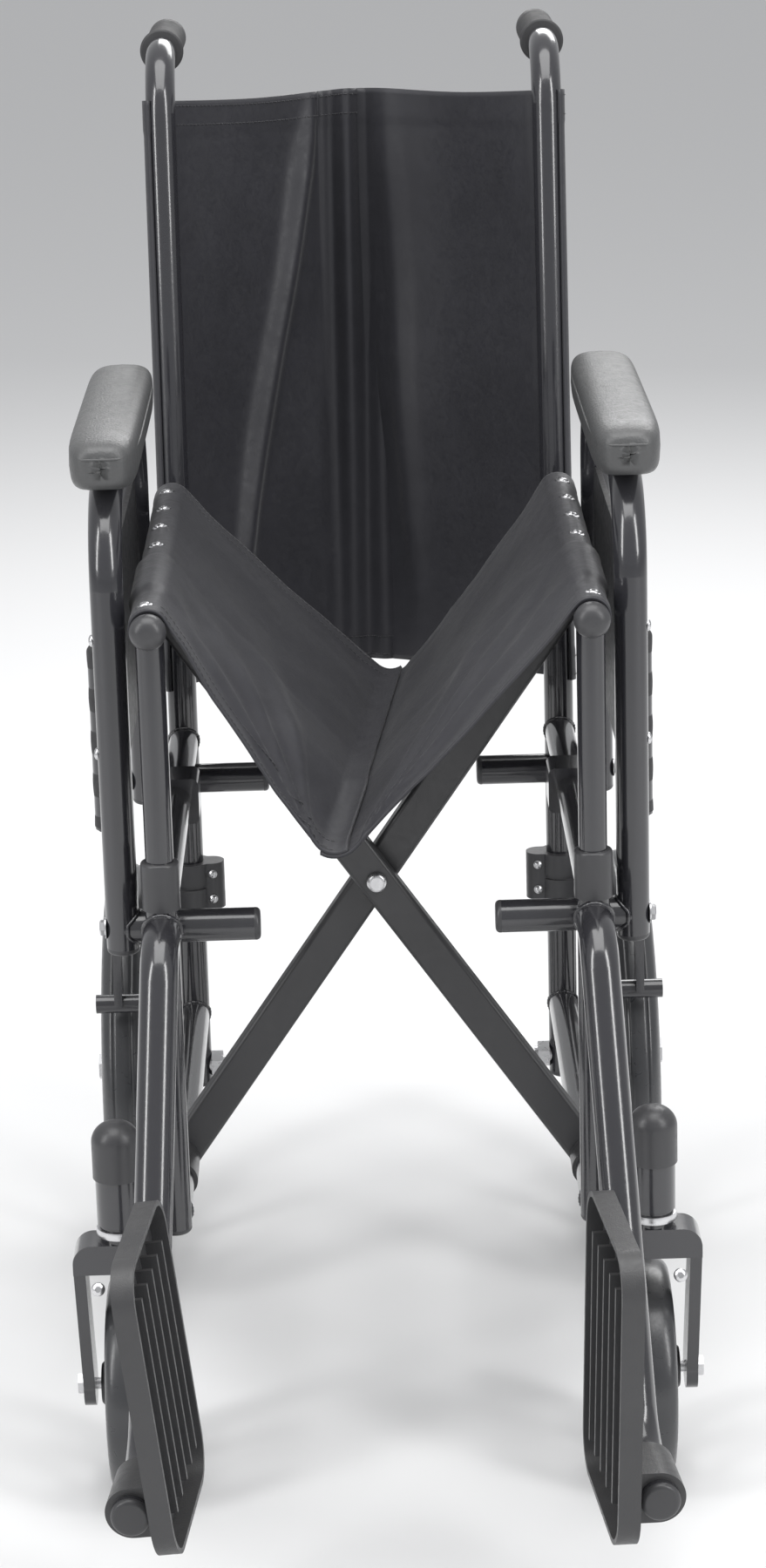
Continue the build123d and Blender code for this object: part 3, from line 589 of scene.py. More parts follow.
class Palette:
    """Every material of the chair, by a plain name."""

    FINISHES = (
        Finish("black_paint", (0.022, 0.022, 0.026), 0.2, coat=0.6, coat_roughness=0.06, specular=0.6,
               dust=0.05, relief_scale=420.0, relief_depth=0.00004, tone=0.15),
        Finish("brace_paint", (0.03, 0.03, 0.032), 0.36, coat=0.2, coat_roughness=0.25, dust=0.08,
               relief_scale=420.0, relief_depth=0.00006, tone=0.2),
        Finish("sling_nylon", (0.026, 0.026, 0.031), 0.46, sheen=0.12, specular=0.45, dust=0.05,
               relief=Relief.WEAVE, relief_scale=900.0, relief_depth=0.00005, tone=0.2),
        Finish("hem_binding", (0.018, 0.018, 0.021), 0.55, sheen=0.1, dust=0.05,
               relief=Relief.GRAIN, relief_scale=1500.0, relief_depth=0.00008),
        Finish("thread", (0.03, 0.03, 0.034), 0.5, sheen=0.2, dust=0.03, relief_scale=3000.0),
        Finish("pad_vinyl", (0.07, 0.071, 0.072), 0.4, specular=0.55, dust=0.1,
               relief=Relief.GRAIN, relief_scale=650.0, relief_depth=0.00025, tone=0.12),
        Finish("moulded_plastic", (0.03, 0.03, 0.032), 0.42, dust=0.08,
               relief=Relief.GRAIN, relief_scale=1100.0, relief_depth=0.0001, tone=0.15),
        Finish("cap_plastic", (0.045, 0.045, 0.048), 0.34, dust=0.06,
               relief=Relief.GRAIN, relief_scale=1400.0, relief_depth=0.00006, tone=0.15),
        Finish("plate_plastic", (0.045, 0.045, 0.047), 0.38, dust=0.1,
               relief=Relief.GRAIN, relief_scale=900.0, relief_depth=0.00014, tone=0.2),
        Finish("grip_rubber", (0.035, 0.035, 0.037), 0.6, dust=0.12,
               relief=Relief.GRAIN, relief_scale=1200.0, relief_depth=0.00012),
        Finish("tyre_rubber", (0.032, 0.033, 0.036), 0.3, specular=0.55, coat=0.25, coat_roughness=0.2,
               dust=0.1, relief_scale=500.0, relief_depth=0.00008, tone=0.2),
        Finish("zinc", (0.6, 0.6, 0.61), 0.28, metallic=1.0, dust=0.03,
               relief_scale=900.0, relief_depth=0.00003, tone=0.12),
    )

    def __init__(self) -> None:
        """Builds every material once."""
        patterns = Patterns()
        self._made = {finish.name: finish.build(patterns) for finish in self.FINISHES}

    def dress(self, piece: bpy.types.Object, name: str) -> None:
        """Gives a piece one finish all over."""
        piece.data.materials.clear()
        piece.data.materials.append(self._made[name])

    def dress_node(self, node: str, name: str) -> None:
        """Gives a carried-over CAD node one finish through its object's slots.

        Args:
            node: The CAD node's name.
            name: The palette's name of the finish.
        """
        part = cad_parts[node]
        if not part.material_slots:
            part.data.materials.append(self._made[name])
        for slot in part.material_slots:
            slot.link = "OBJECT"
            slot.material = self._made[name]


class Keeper:
    """Registers each finished piece with its body and finish, and logs it."""

    def __init__(self, palette: Palette) -> None:
        """Keeps the palette that pieces are dressed from."""
        self.palette = palette

    def keep(self, piece: bpy.types.Object, body: str, finish: str,
             nodes: Sequence[str] = ()) -> None:
        """Dresses a piece, rides it on its body and hides the nodes that it stands for.

        Args:
            piece: The finished piece.
            body: The CAD body that carries it.
            finish: The palette's name of its finish.
            nodes: CAD nodes that it replaces.
        """
        self.palette.dress(piece, finish)
        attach(piece, body)
        if nodes:
            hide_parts(*nodes)
        LOG.info("%s rides on %s", piece.name, body)


@dataclass
class Studio:
    """Pale floor, soft lamps and the camera at the photograph's viewpoint."""

    floor_half: float = 40.0
    floor_tone: float = 0.8
    world_tone: float = 0.55
    camera_from_rear_post: Vector = field(default_factory=lambda: Vector((-0.006, -2.812, 1.2247)))
    yaw_deg: float = 0.28
    pitch_deg: float = 16.64
    roll_deg: float = -1.58
    focal_px: float = 4369.0
    long_side_px: float = 1800.0
    sensor: float = 36.0

    def build(self, datum: Datum) -> None:
        """Makes the floor, the world, the lamps and the camera.

        Args:
            datum: The frame's places.
        """
        self._floor()
        self._world()
        self._lamp("overhead_soft", Vector((0.0, -0.5, 3.0)), Vector((0, 0, 0.4)), (2.6, 2.2), 62.0)
        self._lamp("left_strip", Vector((-2.3, -1.5, 1.9)), Vector((0, 0, 0.5)), (0.5, 2.2), 34.0)
        self._lamp("right_strip", Vector((2.2, -1.8, 2.0)), Vector((0, 0, 0.5)), (0.6, 2.2), 40.0)
        self._lamp("rear_soft", Vector((0.6, 2.6, 2.2)), Vector((0, 0, 0.5)), (2.0, 1.2), 34.0)
        self._camera(datum)

    def _floor(self) -> None:
        """A plain pale floor."""
        half = self.floor_half
        corners = [Vector((x * half, y * half, 0.0)) for x, y in ((-1, -1), (1, -1), (1, 1), (-1, 1))]
        floor = mesh_piece("studio_floor", corners, [(0, 1, 2, 3)])
        material = bpy.data.materials.new("studio_floor")
        material.use_nodes = True
        shader = material.node_tree.nodes["Principled BSDF"]
        shader.inputs["Base Color"].default_value = (*(self.floor_tone,) * 3, 1)
        shader.inputs["Roughness"].default_value = 0.9
        shader.inputs["Specular IOR Level"].default_value = 0.1
        floor.data.materials.append(material)

    def _world(self) -> None:
        """An even pale surround."""
        world = bpy.data.worlds.new("studio_surround")
        bpy.context.scene.world = world
        world.use_nodes = True
        background = world.node_tree.nodes["Background"]
        background.inputs["Color"].default_value = (0.97, 0.98, 1.0, 1)
        tree = world.node_tree
        ray = tree.nodes.new("ShaderNodeLightPath")
        seen = tree.nodes.new("ShaderNodeMath")
        seen.operation = "MAXIMUM"
        tree.links.new(ray.outputs["Is Camera Ray"], seen.inputs[0])
        tree.links.new(ray.outputs["Is Transmission Ray"], seen.inputs[1])
        strength = tree.nodes.new("ShaderNodeMapRange")
        strength.inputs["To Min"].default_value = self.world_tone
        strength.inputs["To Max"].default_value = 1.0
        tree.links.new(seen.outputs[0], strength.inputs["Value"])
        tree.links.new(strength.outputs["Result"], background.inputs["Strength"])

    @staticmethod
    def _lamp(name: str, place: Vector, target: Vector, size: tuple[float, float], watts: float) -> None:
        """A soft rectangular lamp that faces a point.

        Args:
            name: The lamp's name.
            place: Where the lamp hangs.
            target: The point that it faces.
            size: Its width and height.
            watts: Its power.
        """
        lamp = bpy.data.lights.new(name, "AREA")
        lamp.shape = "RECTANGLE"
        lamp.size, lamp.size_y = size
        lamp.energy = watts
        carrier = bpy.data.objects.new(name, lamp)
        carrier.location = place
        carrier.rotation_mode = "QUATERNION"
        carrier.rotation_quaternion = (target - place).to_track_quat("-Z", "Y")
        bpy.context.scene.collection.objects.link(carrier)

    def _camera(self, datum: Datum) -> None:
        """The camera of the photograph.

        Args:
            datum: The frame's places.
        """
        yaw, pitch, roll = (math.radians(a) for a in (self.yaw_deg, self.pitch_deg, self.roll_deg))
        ahead = Vector((math.sin(yaw) * math.cos(pitch), math.cos(yaw) * math.cos(pitch), -math.sin(pitch)))
        level = Vector((math.cos(yaw), -math.sin(yaw), 0))
        upright = level.cross(ahead)
        right = level * math.cos(roll) + upright * math.sin(roll)
        up = -level * math.sin(roll) + upright * math.cos(roll)
        lens = bpy.data.cameras.new("viewpoint")
        lens.sensor_width = self.sensor
        lens.lens = self.focal_px / self.long_side_px * self.sensor
        lens.clip_end = 200.0
        camera = bpy.data.objects.new("viewpoint", lens)
        matrix = Matrix((right, up, -ahead)).transposed().to_4x4()
        matrix.translation = self.camera_from_rear_post + Vector((0, datum.rear_y, 0))
        camera.matrix_world = matrix
        bpy.context.scene.collection.objects.link(camera)
        bpy.context.scene.camera = camera


class PaintedFrame:
    """Finishes for the CAD nodes that stay as they are."""

    FINISH_OF = {
        "back_cane": "black_paint", "front_post": "black_paint", "upper_rail": "black_paint",
        "lower_rail": "black_paint", "stub_tubes": "black_paint", "arm_frame": "black_paint",
        "side_panel": "moulded_plastic", "frame_caps": "cap_plastic", "caster_housing": "black_paint",
        "post_clamp": "cap_plastic", "rear_axle": "zinc", "hanger": "black_paint",
        "lock_bracket": "black_paint", "caster_fork": "black_paint", "caster_axle": "zinc",
        "seat_rail": "black_paint", "seat_rail_plugs": "cap_plastic", "brace": "brace_paint",
        "footplate": "plate_plastic", "lock_lever": "black_paint",
    }

    def __init__(self, palette: Palette) -> None:
        """Keeps the palette."""
        self.palette = palette

    def build(self) -> None:
        """Dresses every carried-over node on both sides."""
        for side in Side:
            for kind, finish in self.FINISH_OF.items():
                self.palette.dress_node(f"{kind}_{side.label}", finish)
                LOG.info("%s_%s wears %s", kind, side.label, finish)
        for node in ("brace_bolt", "brace_washer"):
            self.palette.dress_node(node, "zinc")


@dataclass
class ClothStrip:
    """A strip of cloth with real thickness, built from a middle surface.

    Args:
        middle: Place of the cloth's middle at a share across and a share along.
        width: Distance across the flat cloth.
        length: Distance along the flat cloth.
        thickness: The cloth's thickness.
        hem: Width of the doubled edge at each end of the length, or zero.
        hem_extra: How much thicker the doubled edge is.
    """

    middle: Callable[[float, float], Vector]
    width: float
    length: float
    thickness: float = 1.3 * MM
    hem: float = 22 * MM
    hem_extra: float = 0.9 * MM
    columns: int = 110
    rows: int = 120

    def half_thickness(self, along: float) -> float:
        """Half the thickness at a share of the length, with the doubled hems eased in.

        Args:
            along: The share of the length, from 0 to 1.

        Returns:
            Half the thickness.
        """
        edge = min(along, 1 - along) * self.length
        doubled = 0.0
        if self.hem:
            ease = 2.5 * MM
            doubled = max(0.0, min(1.0, (self.hem + ease - edge) / ease))
        return (self.thickness + self.hem_extra * doubled) / 2

    def normal(self, across: float, along: float) -> Vector:
        """The surface's normal, by small steps.

        Args:
            across: The share of the width, from 0 to 1.
            along: The share of the length, from 0 to 1.

        Returns:
            The unit normal.
        """
        step = 0.004
        a0, a1 = max(across - step, 0), min(across + step, 1)
        b0, b1 = max(along - step, 0), min(along + step, 1)
        first = self.middle(a1, along) - self.middle(a0, along)
        second = self.middle(across, b1) - self.middle(across, b0)
        return first.cross(second).normalized()

    def build(self, name: str) -> bpy.types.Object:
        """Makes the closed sheet with its cloth coordinates.

        Args:
            name: The piece's name.

        Returns:
            The sheet.
        """
        points: list[Vector] = []
        flat: list[tuple[float, float]] = []
        for face in (1, -1):
            for row in range(self.rows + 1):
                along = row / self.rows
                half = self.half_thickness(along)
                for column in range(self.columns + 1):
                    across = column / self.columns
                    points.append(self.middle(across, along) + self.normal(across, along) * half * face)
                    flat.append((across * self.width, along * self.length))
        wide = self.columns + 1
        sheet_size = wide * (self.rows + 1)
        faces = []
        for row in range(self.rows):
            for column in range(self.columns):
                a = row * wide + column
                quad = [a, a + 1, a + wide + 1, a + wide]
                faces.append(quad)
                faces.append([sheet_size + corner for corner in reversed(quad)])
        rim = [column for column in range(wide)]
        rim += [row * wide + self.columns for row in range(1, self.rows + 1)]
        rim += [self.rows * wide + column for column in range(self.columns - 1, -1, -1)]
        rim += [row * wide for row in range(self.rows - 1, 0, -1)]
        for index, corner in enumerate(rim):
            following = rim[(index + 1) % len(rim)]
            faces.append([corner, sheet_size + corner, sheet_size + following, following])
        piece = mesh_piece(name, points, faces)
        layer = piece.data.uv_layers.new(name=CLOTH_UV)
        for loop in piece.data.loops:
            layer.data[loop.index].uv = flat[loop.vertex_index]
        return piece

    def stitches(self, name: str, along: float, start: float, end: float, lift: float = 0.25 * MM
                 ) -> bpy.types.Object:
        """A row of stitches across the cloth, on its upper face.

        Args:
            name: The piece's name.
            along: The share of the length that the row runs at.
            start: The share across where it starts.
            end: The share across where it ends.
            lift: How far the thread stands off the cloth.

        Returns:
            One piece that holds every stitch.
        """
        pitch, stitch, thread_r = 4.2 * MM, 3.0 * MM, 0.45 * MM
        bag = MeshBag()
        count = int((end - start) * self.width / pitch)
        half = self.half_thickness(along)
        for index in range(count):
            begin = start + index * pitch / self.width
            path = []
            for step in range(5):
                share = step / 4
                across = begin + share * stitch / self.width
                rise = half + lift * math.sin(math.pi * share) - 0.1 * MM
                path.append(self.middle(across, along) + self.normal(across, along) * rise)
            bag.rope(path, thread_r, sides=6)
        return bag.piece(name, None)


@dataclass
class SeatSling:
    """The seat, hung in a V between the rails, in two halves that meet at a rounded bottom."""

    wrap_r: float = 12.4 * MM
    sleeve_wrap_r: float = 15.2 * MM
    sleeve_half: float = 48 * MM
    front_fore: float = 0.414
    rear_fore: float = 0.022
    bottom_front: Vector = field(default_factory=lambda: Vector((-27, 461)) * MM)
    bottom_brace: Vector = field(default_factory=lambda: Vector((-12, 480)) * MM)
    bottom_rear: Vector = field(default_factory=lambda: Vector((16, 481)) * MM)
    bottom_r: float = 14.5 * MM
    outer_hem_deg: float = -32.0
    past_bottom_deg: float = 34.0
    lap: float = 2.6 * MM

    def bottom(self, along: float) -> Vector:
        """X and Z of the V's lowest line at a share of the way from front to rear.

        Args:
            along: The share of the way from front to rear.

        Returns:
            X and Z of the line.
        """
        at_brace = (self.front_fore - 0.305) / (self.front_fore - self.rear_fore)
        if along < at_brace:
            share = along / at_brace
            share = share * share * (3 - 2 * share)
            return self.bottom_front.lerp(self.bottom_brace, share)
        return self.bottom_brace.lerp(self.bottom_rear, (along - at_brace) / (1 - at_brace))

    def surface(self, side: Side, datum: Datum) -> tuple[Callable[[float, float], Vector], float]:
        """The middle surface of one half.

        Args:
            side: Which half.
            datum: The frame's places.

        Returns:
            A function from shares across and along to a place, and the half's flat width.
        """
        sign = side.value

        def outline(along: float) -> tuple[Vector, float, Vector, float, Vector]:
            """The rail's middle, its wrap, the bottom's middle, its radius and the normal.

            Args:
                along: The share of the length, from 0 to 1.

            Returns:
                The five values, in that order.
            """
            y = datum.fore(self.front_fore + (self.rear_fore - self.front_fore) * along)
            near = max(0.0, 1 - max(0.0, abs(y - datum.brace_y) - self.sleeve_half + 8 * MM) / (16 * MM))
            wrap = self.wrap_r + (self.sleeve_wrap_r - self.wrap_r) * near * near * (3 - 2 * near)
            rail = Vector((sign * datum.frame_x, datum.seat_z))
            low = self.bottom(along)
            radius = self.bottom_r + (self.lap if side is Side.RIGHT else 0.0)
            centre = Vector((low.x, low.y + self.bottom_r))
            gap = centre - rail
            slope = math.atan2(gap.y, gap.x) + sign * math.asin((wrap + radius) / gap.length)
            normal = Vector((math.sin(slope), -math.cos(slope))) * sign
            return rail, wrap, centre, radius, normal

        def lengths(along: float) -> tuple[float, float, float]:
            """The runs round the rail, down the slope and round the bottom.

            Args:
                along: The share of the length, from 0 to 1.

            Returns:
                The three runs.
            """
            rail, wrap, centre, radius, normal = outline(along)
            lean = math.atan2(normal.y, sign * normal.x)
            first = wrap * (lean - math.radians(self.outer_hem_deg))
            second = ((centre - normal * radius) - (rail + normal * wrap)).length
            third = radius * (lean - math.pi / 2 + math.radians(self.past_bottom_deg))
            return first, second, third

        def at(across: float, along: float) -> Vector:
            """A place on the cloth's middle.

            Args:
                across: The share of the width, from 0 to 1.
                along: The share of the length, from 0 to 1.

            Returns:
                The place.
            """
            rail, wrap, centre, radius, normal = outline(along)
            first, second, third = lengths(along)
            y = datum.fore(self.front_fore + (self.rear_fore - self.front_fore) * along)
            travel = across * (first + second + third)
            lean = math.atan2(normal.y, sign * normal.x)
            if travel <= first:
                angle = math.radians(self.outer_hem_deg) + travel / wrap
                spot = rail + Vector((sign * math.cos(angle), math.sin(angle))) * wrap
                facing = (spot - rail).normalized()
            elif travel <= first + second:
                share = (travel - first) / second
                spot = (rail + normal * wrap).lerp(centre - normal * radius, share)
                belly = -2.5 * MM * math.sin(math.pi * share)
                spot = spot + normal * (belly + self._folds(side, share, along))
                facing = normal
            else:
                angle = lean + math.pi - (travel - first - second) / radius
                spot = centre + Vector((sign * math.cos(angle), math.sin(angle))) * radius
                facing = (centre - spot).normalized()
            pucker = 0.35 * MM * noise.noise(Vector((travel * 60, y * 55, sign * 3.0)))
            spot = spot + facing * pucker
            return Vector((spot.x, y, spot.y))

        flat = max(sum(lengths(step / 12)) for step in range(13))
        return at, flat

    @staticmethod
    def _folds(side: Side, share: float, along: float) -> float:
        """Height of the creases that fan up the slope from the V's front end.

        Args:
            side: Which side of the chair.
            share: The share of the way down the slope.
            along: The share of the way from front to rear.

        Returns:
            The height above the plain slope.
        """
        down, back = 1 - share, along
        reach = math.hypot(down * 0.20, back * 0.39)
        bearing = math.atan2(back * 0.39, down * 0.20 + 1e-6)
        lines = ((0.32, 0.09, 6.5), (0.62, 0.08, 5.5), (0.95, 0.10, 4.5)) if side is Side.RIGHT else (
            (0.28, 0.08, 5.0), (0.60, 0.09, 5.5), (1.00, 0.11, 3.5))
        height = 0.0
        for centre, spread, size in lines:
            ridge = math.exp(-((bearing - centre) / spread) ** 2)
            fade = math.exp(-((reach - 0.11) / 0.10) ** 2)
            height += ridge * fade * size * MM
        ends = min(1.0, share / 0.12) * min(1.0, down / 0.06)
        soft = noise.noise(Vector((share * 3.1, along * 5.0, side.value * 7.0))) * 3.0 * MM
        return (height + soft) * ends

    def build(self, datum: Datum, keeper: Keeper) -> None:
        """Makes both halves and their stitching.

        Args:
            datum: The frame's places.
            keeper: Registers the pieces.
        """
        length = self.front_fore - self.rear_fore
        for side in Side:
            surface, width = self.surface(side, datum)
            strip = ClothStrip(surface, width, length)
            body = f"seat_cloth_{side.label}"
            cloth = strip.build(f"seat_sling_{side.label}")
            keeper.keep(cloth, body, "sling_nylon", [f"seat_half_{side.label}"])
            for index, inset in enumerate(stitch_rows(length)):
                row = strip.stitches(f"seat_stitches_{side.label}_{index + 1}", inset / length, 0.14, 0.97)
                keeper.keep(row, body, "thread")


@dataclass
class SeatScrews:
    """Domed zinc screws with cup washers along the seat rails."""

    head_r: float = 4.0 * MM
    washer_r: float = 5.6 * MM
    tilt_deg: float = 12.0
    places: tuple[float, ...] = (50, 108, 166, 224, 398)

    def build(self, datum: Datum, keeper: Keeper) -> None:
        """Makes one piece of screws for each rail."""
        tilt = math.radians(self.tilt_deg)
        for side in Side:
            outward = Vector((side.value * math.sin(tilt), 0, math.cos(tilt)))
            bag = MeshBag()
            for place in self.places:
                foot = Vector((side.value * datum.frame_x, datum.fore(place * MM), datum.seat_z))
                foot = foot + outward * (datum.tube_r + 0.2 * MM)
                washer = [(0, 0), (self.washer_r, 0), (self.washer_r, 1.3 * MM),
                          (self.washer_r * 0.8, 2.0 * MM), (0, 2.0 * MM)]
                bag.lathe(washer, foot, outward, 24)
                dome = arc_profile(self.head_r, 0, 68, (0, 1.8 * MM), 5)
                dome = [(r, 1.8 * MM + (d - 1.8 * MM) * 0.5) for r, d in dome]
                crown = dome[-1][1]
                recess = [(1.1 * MM, crown), (1.0 * MM, crown - 1.0 * MM), (0, crown - 1.1 * MM)]
                bag.lathe([(0, 1.2 * MM), (self.head_r, 1.2 * MM)] + dome + recess, foot, outward, 24)
            keeper.keep(bag.piece(f"seat_rail_screws_{side.label}"), f"seat_side_{side.label}", "zinc",
                        [f"seat_screws_{side.label}"])


@dataclass
class BackSling:
    """The back, screwed behind the canes, bulging rearward to a band of upright pleats."""

    wrap_r: float = 12.6 * MM
    low: float = 6 * MM
    high: float = 450 * MM
    recline_z: float = 0.458
    recline_deg: float = 7.2
    hem_wrap_deg: float = 92.0
    pleat_start: float = -28 * MM
    pleat_end: float = 34 * MM
    right_end: float = 2 * MM

    def depth(self, along: float) -> float:
        """How far the middle lies behind the canes, from the lower hem to the top."""
        return (150 + 12 * math.sin(math.pi * along) - 6 * along) * MM

    def surface(self, side: Side, datum: Datum) -> tuple[Callable[[float, float], Vector], float]:
        """The middle surface of one half.

        Args:
            side: Which half. The left one carries the pleats.
            datum: The frame's places.

        Returns:
            A function from shares across and along to a place, and the half's flat width.
        """
        lean = math.radians(self.recline_deg)
        up = Vector((0, math.sin(lean), math.cos(lean)))
        back = Vector((0, math.cos(lean), -math.sin(lean)))
        foot = Vector((0, datum.rear_y, self.recline_z))
        sign = side.value

        def plan(along: float) -> tuple[Vector, Vector, Vector, float]:
            """The cane, where the cloth leaves it, where the panel ends, and the leaving angle.

            Args:
                along: The share of the length, from 0 to 1.

            Returns:
                The four values, in that order.
            """
            cane = Vector((sign * datum.frame_x, 0))
            stop_x = self.pleat_start if side is Side.LEFT else self.right_end + 8 * MM
            stop = Vector((stop_x, self.depth(along) + (3 * MM if side is Side.RIGHT else 0)))
            gap = stop - cane
            slope = math.atan2(gap.y, -sign * gap.x)
            leave = slope + math.acos(self.wrap_r / gap.length)
            spot = cane + Vector((-sign * math.cos(leave), math.sin(leave))) * self.wrap_r
            return cane, spot, stop, leave

        def runs(along: float) -> tuple[float, float, float]:
            """The runs round the cane, over the panel and through the pleats.

            Args:
                along: The share of the length, from 0 to 1.

            Returns:
                The three runs.
            """
            _, spot, stop, _ = plan(along)
            pleats = (self.pleat_end - self.pleat_start) * 1.25 if side is Side.LEFT else 10 * MM
            return self.wrap_r * math.radians(self.hem_wrap_deg), (stop - spot).length, pleats

        def at(across: float, along: float) -> Vector:
            """A place on the cloth's middle.

            Args:
                across: The share of the width, from 0 to 1.
                along: The share of the length, from 0 to 1.

            Returns:
                The place.
            """
            cane, spot, stop, leave = plan(along)
            first, second, third = runs(along)
            height = self.low + (self.high - self.low) * along
            travel = across * (first + second + third)
            if travel <= first:
                angle = leave + math.radians(self.hem_wrap_deg) - travel / self.wrap_r
                point = cane + Vector((-sign * math.cos(angle), math.sin(angle))) * self.wrap_r
            elif travel <= first + second:
                share = (travel - first) / second
                run = (stop - spot).normalized()
                outward = Vector((-run.y, run.x)) if side is Side.LEFT else Vector((run.y, -run.x))
                bulge = 7 * MM * math.sin(math.pi * share) + self._drape(side, share, along)
                point = spot.lerp(stop, share) + outward * bulge
            else:
                share = (travel - first - second) / third
                if side is Side.LEFT:
                    x = self.pleat_start + (self.pleat_end - self.pleat_start) * share
                    point = Vector((x, self.depth(along) + self._pleat(share, along)))
                else:
                    point = stop + Vector((-10 * MM, 2 * MM)) * share
            rise = 7.5 * MM * along ** 3 * math.exp(-((point.x - 4 * MM) / (60 * MM)) ** 2)
            return foot + Vector((point.x, 0, 0)) + back * point.y + up * (height + rise)

        flat = max(sum(runs(step / 12)) for step in range(13))
        return at, flat

    @staticmethod
    def _pleat(share: float, along: float) -> float:
        """Depth of the upright pleats, which are sharp at the top and die out downwards.

        Args:
            share: The share of the way over this part of the cloth.
            along: The share of the length, from 0 to 1.

        Returns:
            The depth behind the plain panel.
        """
        ends = math.sin(math.pi * min(1.0, share * 1.08)) ** 0.6
        twist = share + 0.10 * (1 - along)
        wave = math.sin(math.tau * (2.35 * twist - 0.1)) * (3.2 + 4.6 * along) * MM
        slow = 2.0 * MM * math.sin(math.tau * (0.9 * share + 0.7 * along))
        return (wave + slow) * ends

    @staticmethod
    def _drape(side: Side, share: float, along: float) -> float:
        """Height of the long soft folds on the panels.

        Args:
            side: Which side of the chair.
            share: The share of the way over this part of the cloth.
            along: The share of the length, from 0 to 1.

        Returns:
            The height above the plain panel.
        """
        line = share - (0.98 - 0.62 * (1 - along)) if side is Side.LEFT else share - (0.9 - 0.1 * (1 - along))
        reach = min(1.0, along / 0.25) * min(1.0, max(0.0, (1.06 - along) / 0.2))
        fold = 8.0 * MM * math.exp(-(line / 0.05) ** 2) * reach
        if side is Side.RIGHT:
            fold *= 0.5
        soft = noise.noise(Vector((share * 2.4, along * 3.3, side.value * 11.0))) * 6.0 * MM
        ends = min(1.0, share / 0.15) * min(1.0, (1 - share) / 0.05)
        return (soft - fold) * ends

    def build(self, datum: Datum, keeper: Keeper) -> None:
        """Makes both halves, their stitching and the screws behind the canes.

        Args:
            datum: The frame's places.
            keeper: Registers the pieces.
        """
        length = self.high - self.low
        lean = math.radians(self.recline_deg)
        up = Vector((0, math.sin(lean), math.cos(lean)))
        for side in Side:
            surface, width = self.surface(side, datum)
            strip = ClothStrip(surface, width, length, columns=130)
            body = f"back_cloth_{side.label}"
            cloth = strip.build(f"back_sling_{side.label}")
            keeper.keep(cloth, body, "sling_nylon", [f"back_half_{side.label}"])
            for index, inset in enumerate(stitch_rows(length)):
                row = strip.stitches(f"back_stitches_{side.label}_{index + 1}", inset / length, 0.02, 0.98)
                keeper.keep(row, body, "thread")
            bag = MeshBag()
            cane = Vector((side.value * datum.frame_x, datum.rear_y, self.recline_z))
            rearward = Vector((side.value * 0.42, math.cos(lean) * 0.9, -math.sin(lean) * 0.9)).normalized()
            for step in range(4):
                foot = cane + up * (self.low + 40 * MM + step * 120 * MM) + rearward * self.wrap_r
                bag.lathe([(0, 0), (5 * MM, 0), (5 * MM, 1.2 * MM), (3.6 * MM, 1.8 * MM),
                           (3.6 * MM, 2.2 * MM), (2.6 * MM, 3.6 * MM), (1.0 * MM, 3.9 * MM),
                           (0.9 * MM, 3.0 * MM), (0, 2.9 * MM)],
                          foot, rearward, 24)
            keeper.keep(bag.piece(f"back_screws_{side.label}"), body, "zinc")


@dataclass
class ArmPad:
    """A firm vinyl pad: crowned top, rounded nose and a seam round its lower third."""

    stations: int = 56
    around: int = 48
    squareness: float = 4.6
    crown: float = 2.2 * MM
    seam_drop: float = 0.30

    def build(self, side: Side, keeper: Keeper) -> None:
        """Makes one pad with its seam.

        Args:
            side: Which arm it is on.
            keeper: Registers the pieces.
        """
        node = f"armrest_pad_{side.label}"
        low, high = low_high(node)
        centre, half = (low + high) / 2, (high - low) / 2
        bag = MeshBag()
        rings = []
        for station in range(self.stations + 1):
            share = -math.cos(math.pi * station / self.stations)
            full = max(0.0, 1 - abs(share) ** 9) ** (1 / 4.5)
            ring = []
            for step in range(self.around):
                angle = math.tau * step / self.around
                spread_x = math.copysign(abs(math.cos(angle)) ** (2 / self.squareness), math.cos(angle))
                spread_z = math.copysign(abs(math.sin(angle)) ** (2 / self.squareness), math.sin(angle))
                ring.append(self._place(centre, half, spread_x, share, spread_z, full))
            rings.append(ring)
        bag.rings(rings)
        pad = bag.piece(f"arm_pad_{side.label}", None)
        keeper.keep(pad, f"frame_{side.label}", "pad_vinyl", [node])
        loop = []
        for step in range(160):
            angle = math.tau * step / 160
            share_y = math.copysign(abs(math.sin(angle)) ** 0.42, math.sin(angle))
            share_x = math.copysign(abs(math.cos(angle)) ** 0.42, math.cos(angle))
            loop.append(centre + Vector((share_x * (half.x - 0.1 * MM), share_y * (half.y - 0.4 * MM),
                                         half.z * self.seam_drop)))
        piping = MeshBag()
        piping.rope(loop, 0.9 * MM, closed=True)
        keeper.keep(piping.piece(f"arm_pad_seam_{side.label}", None), f"frame_{side.label}", "pad_vinyl")

    def _place(self, centre: Vector, half: Vector, across: float, share: float, rise: float, full: float
               ) -> Vector:
        """A point of the pad's skin: the ends round in and the top is crowned.

        Args:
            centre: The middle.
            half: Half the size each way.
            across: The share of the half width.
            share: The share of the half length.
            rise: The share of the half height.
            full: How full the section is here, from 0 to 1.

        Returns:
            The point.
        """
        nose = 1 - 0.35 * (1 - full)
        width = half.x * (full * (1 - 0.04 * max(0.0, -rise)))
        z = half.z * rise * (0.35 + 0.65 * full) * nose
        if rise > 0:
            z -= self.crown * (across * across + 0.3 * share ** 4)
        seam = math.exp(-((rise - self.seam_drop) / 0.09) ** 2)
        return centre + Vector((across * (width - 0.7 * MM * seam), share * half.y, z))


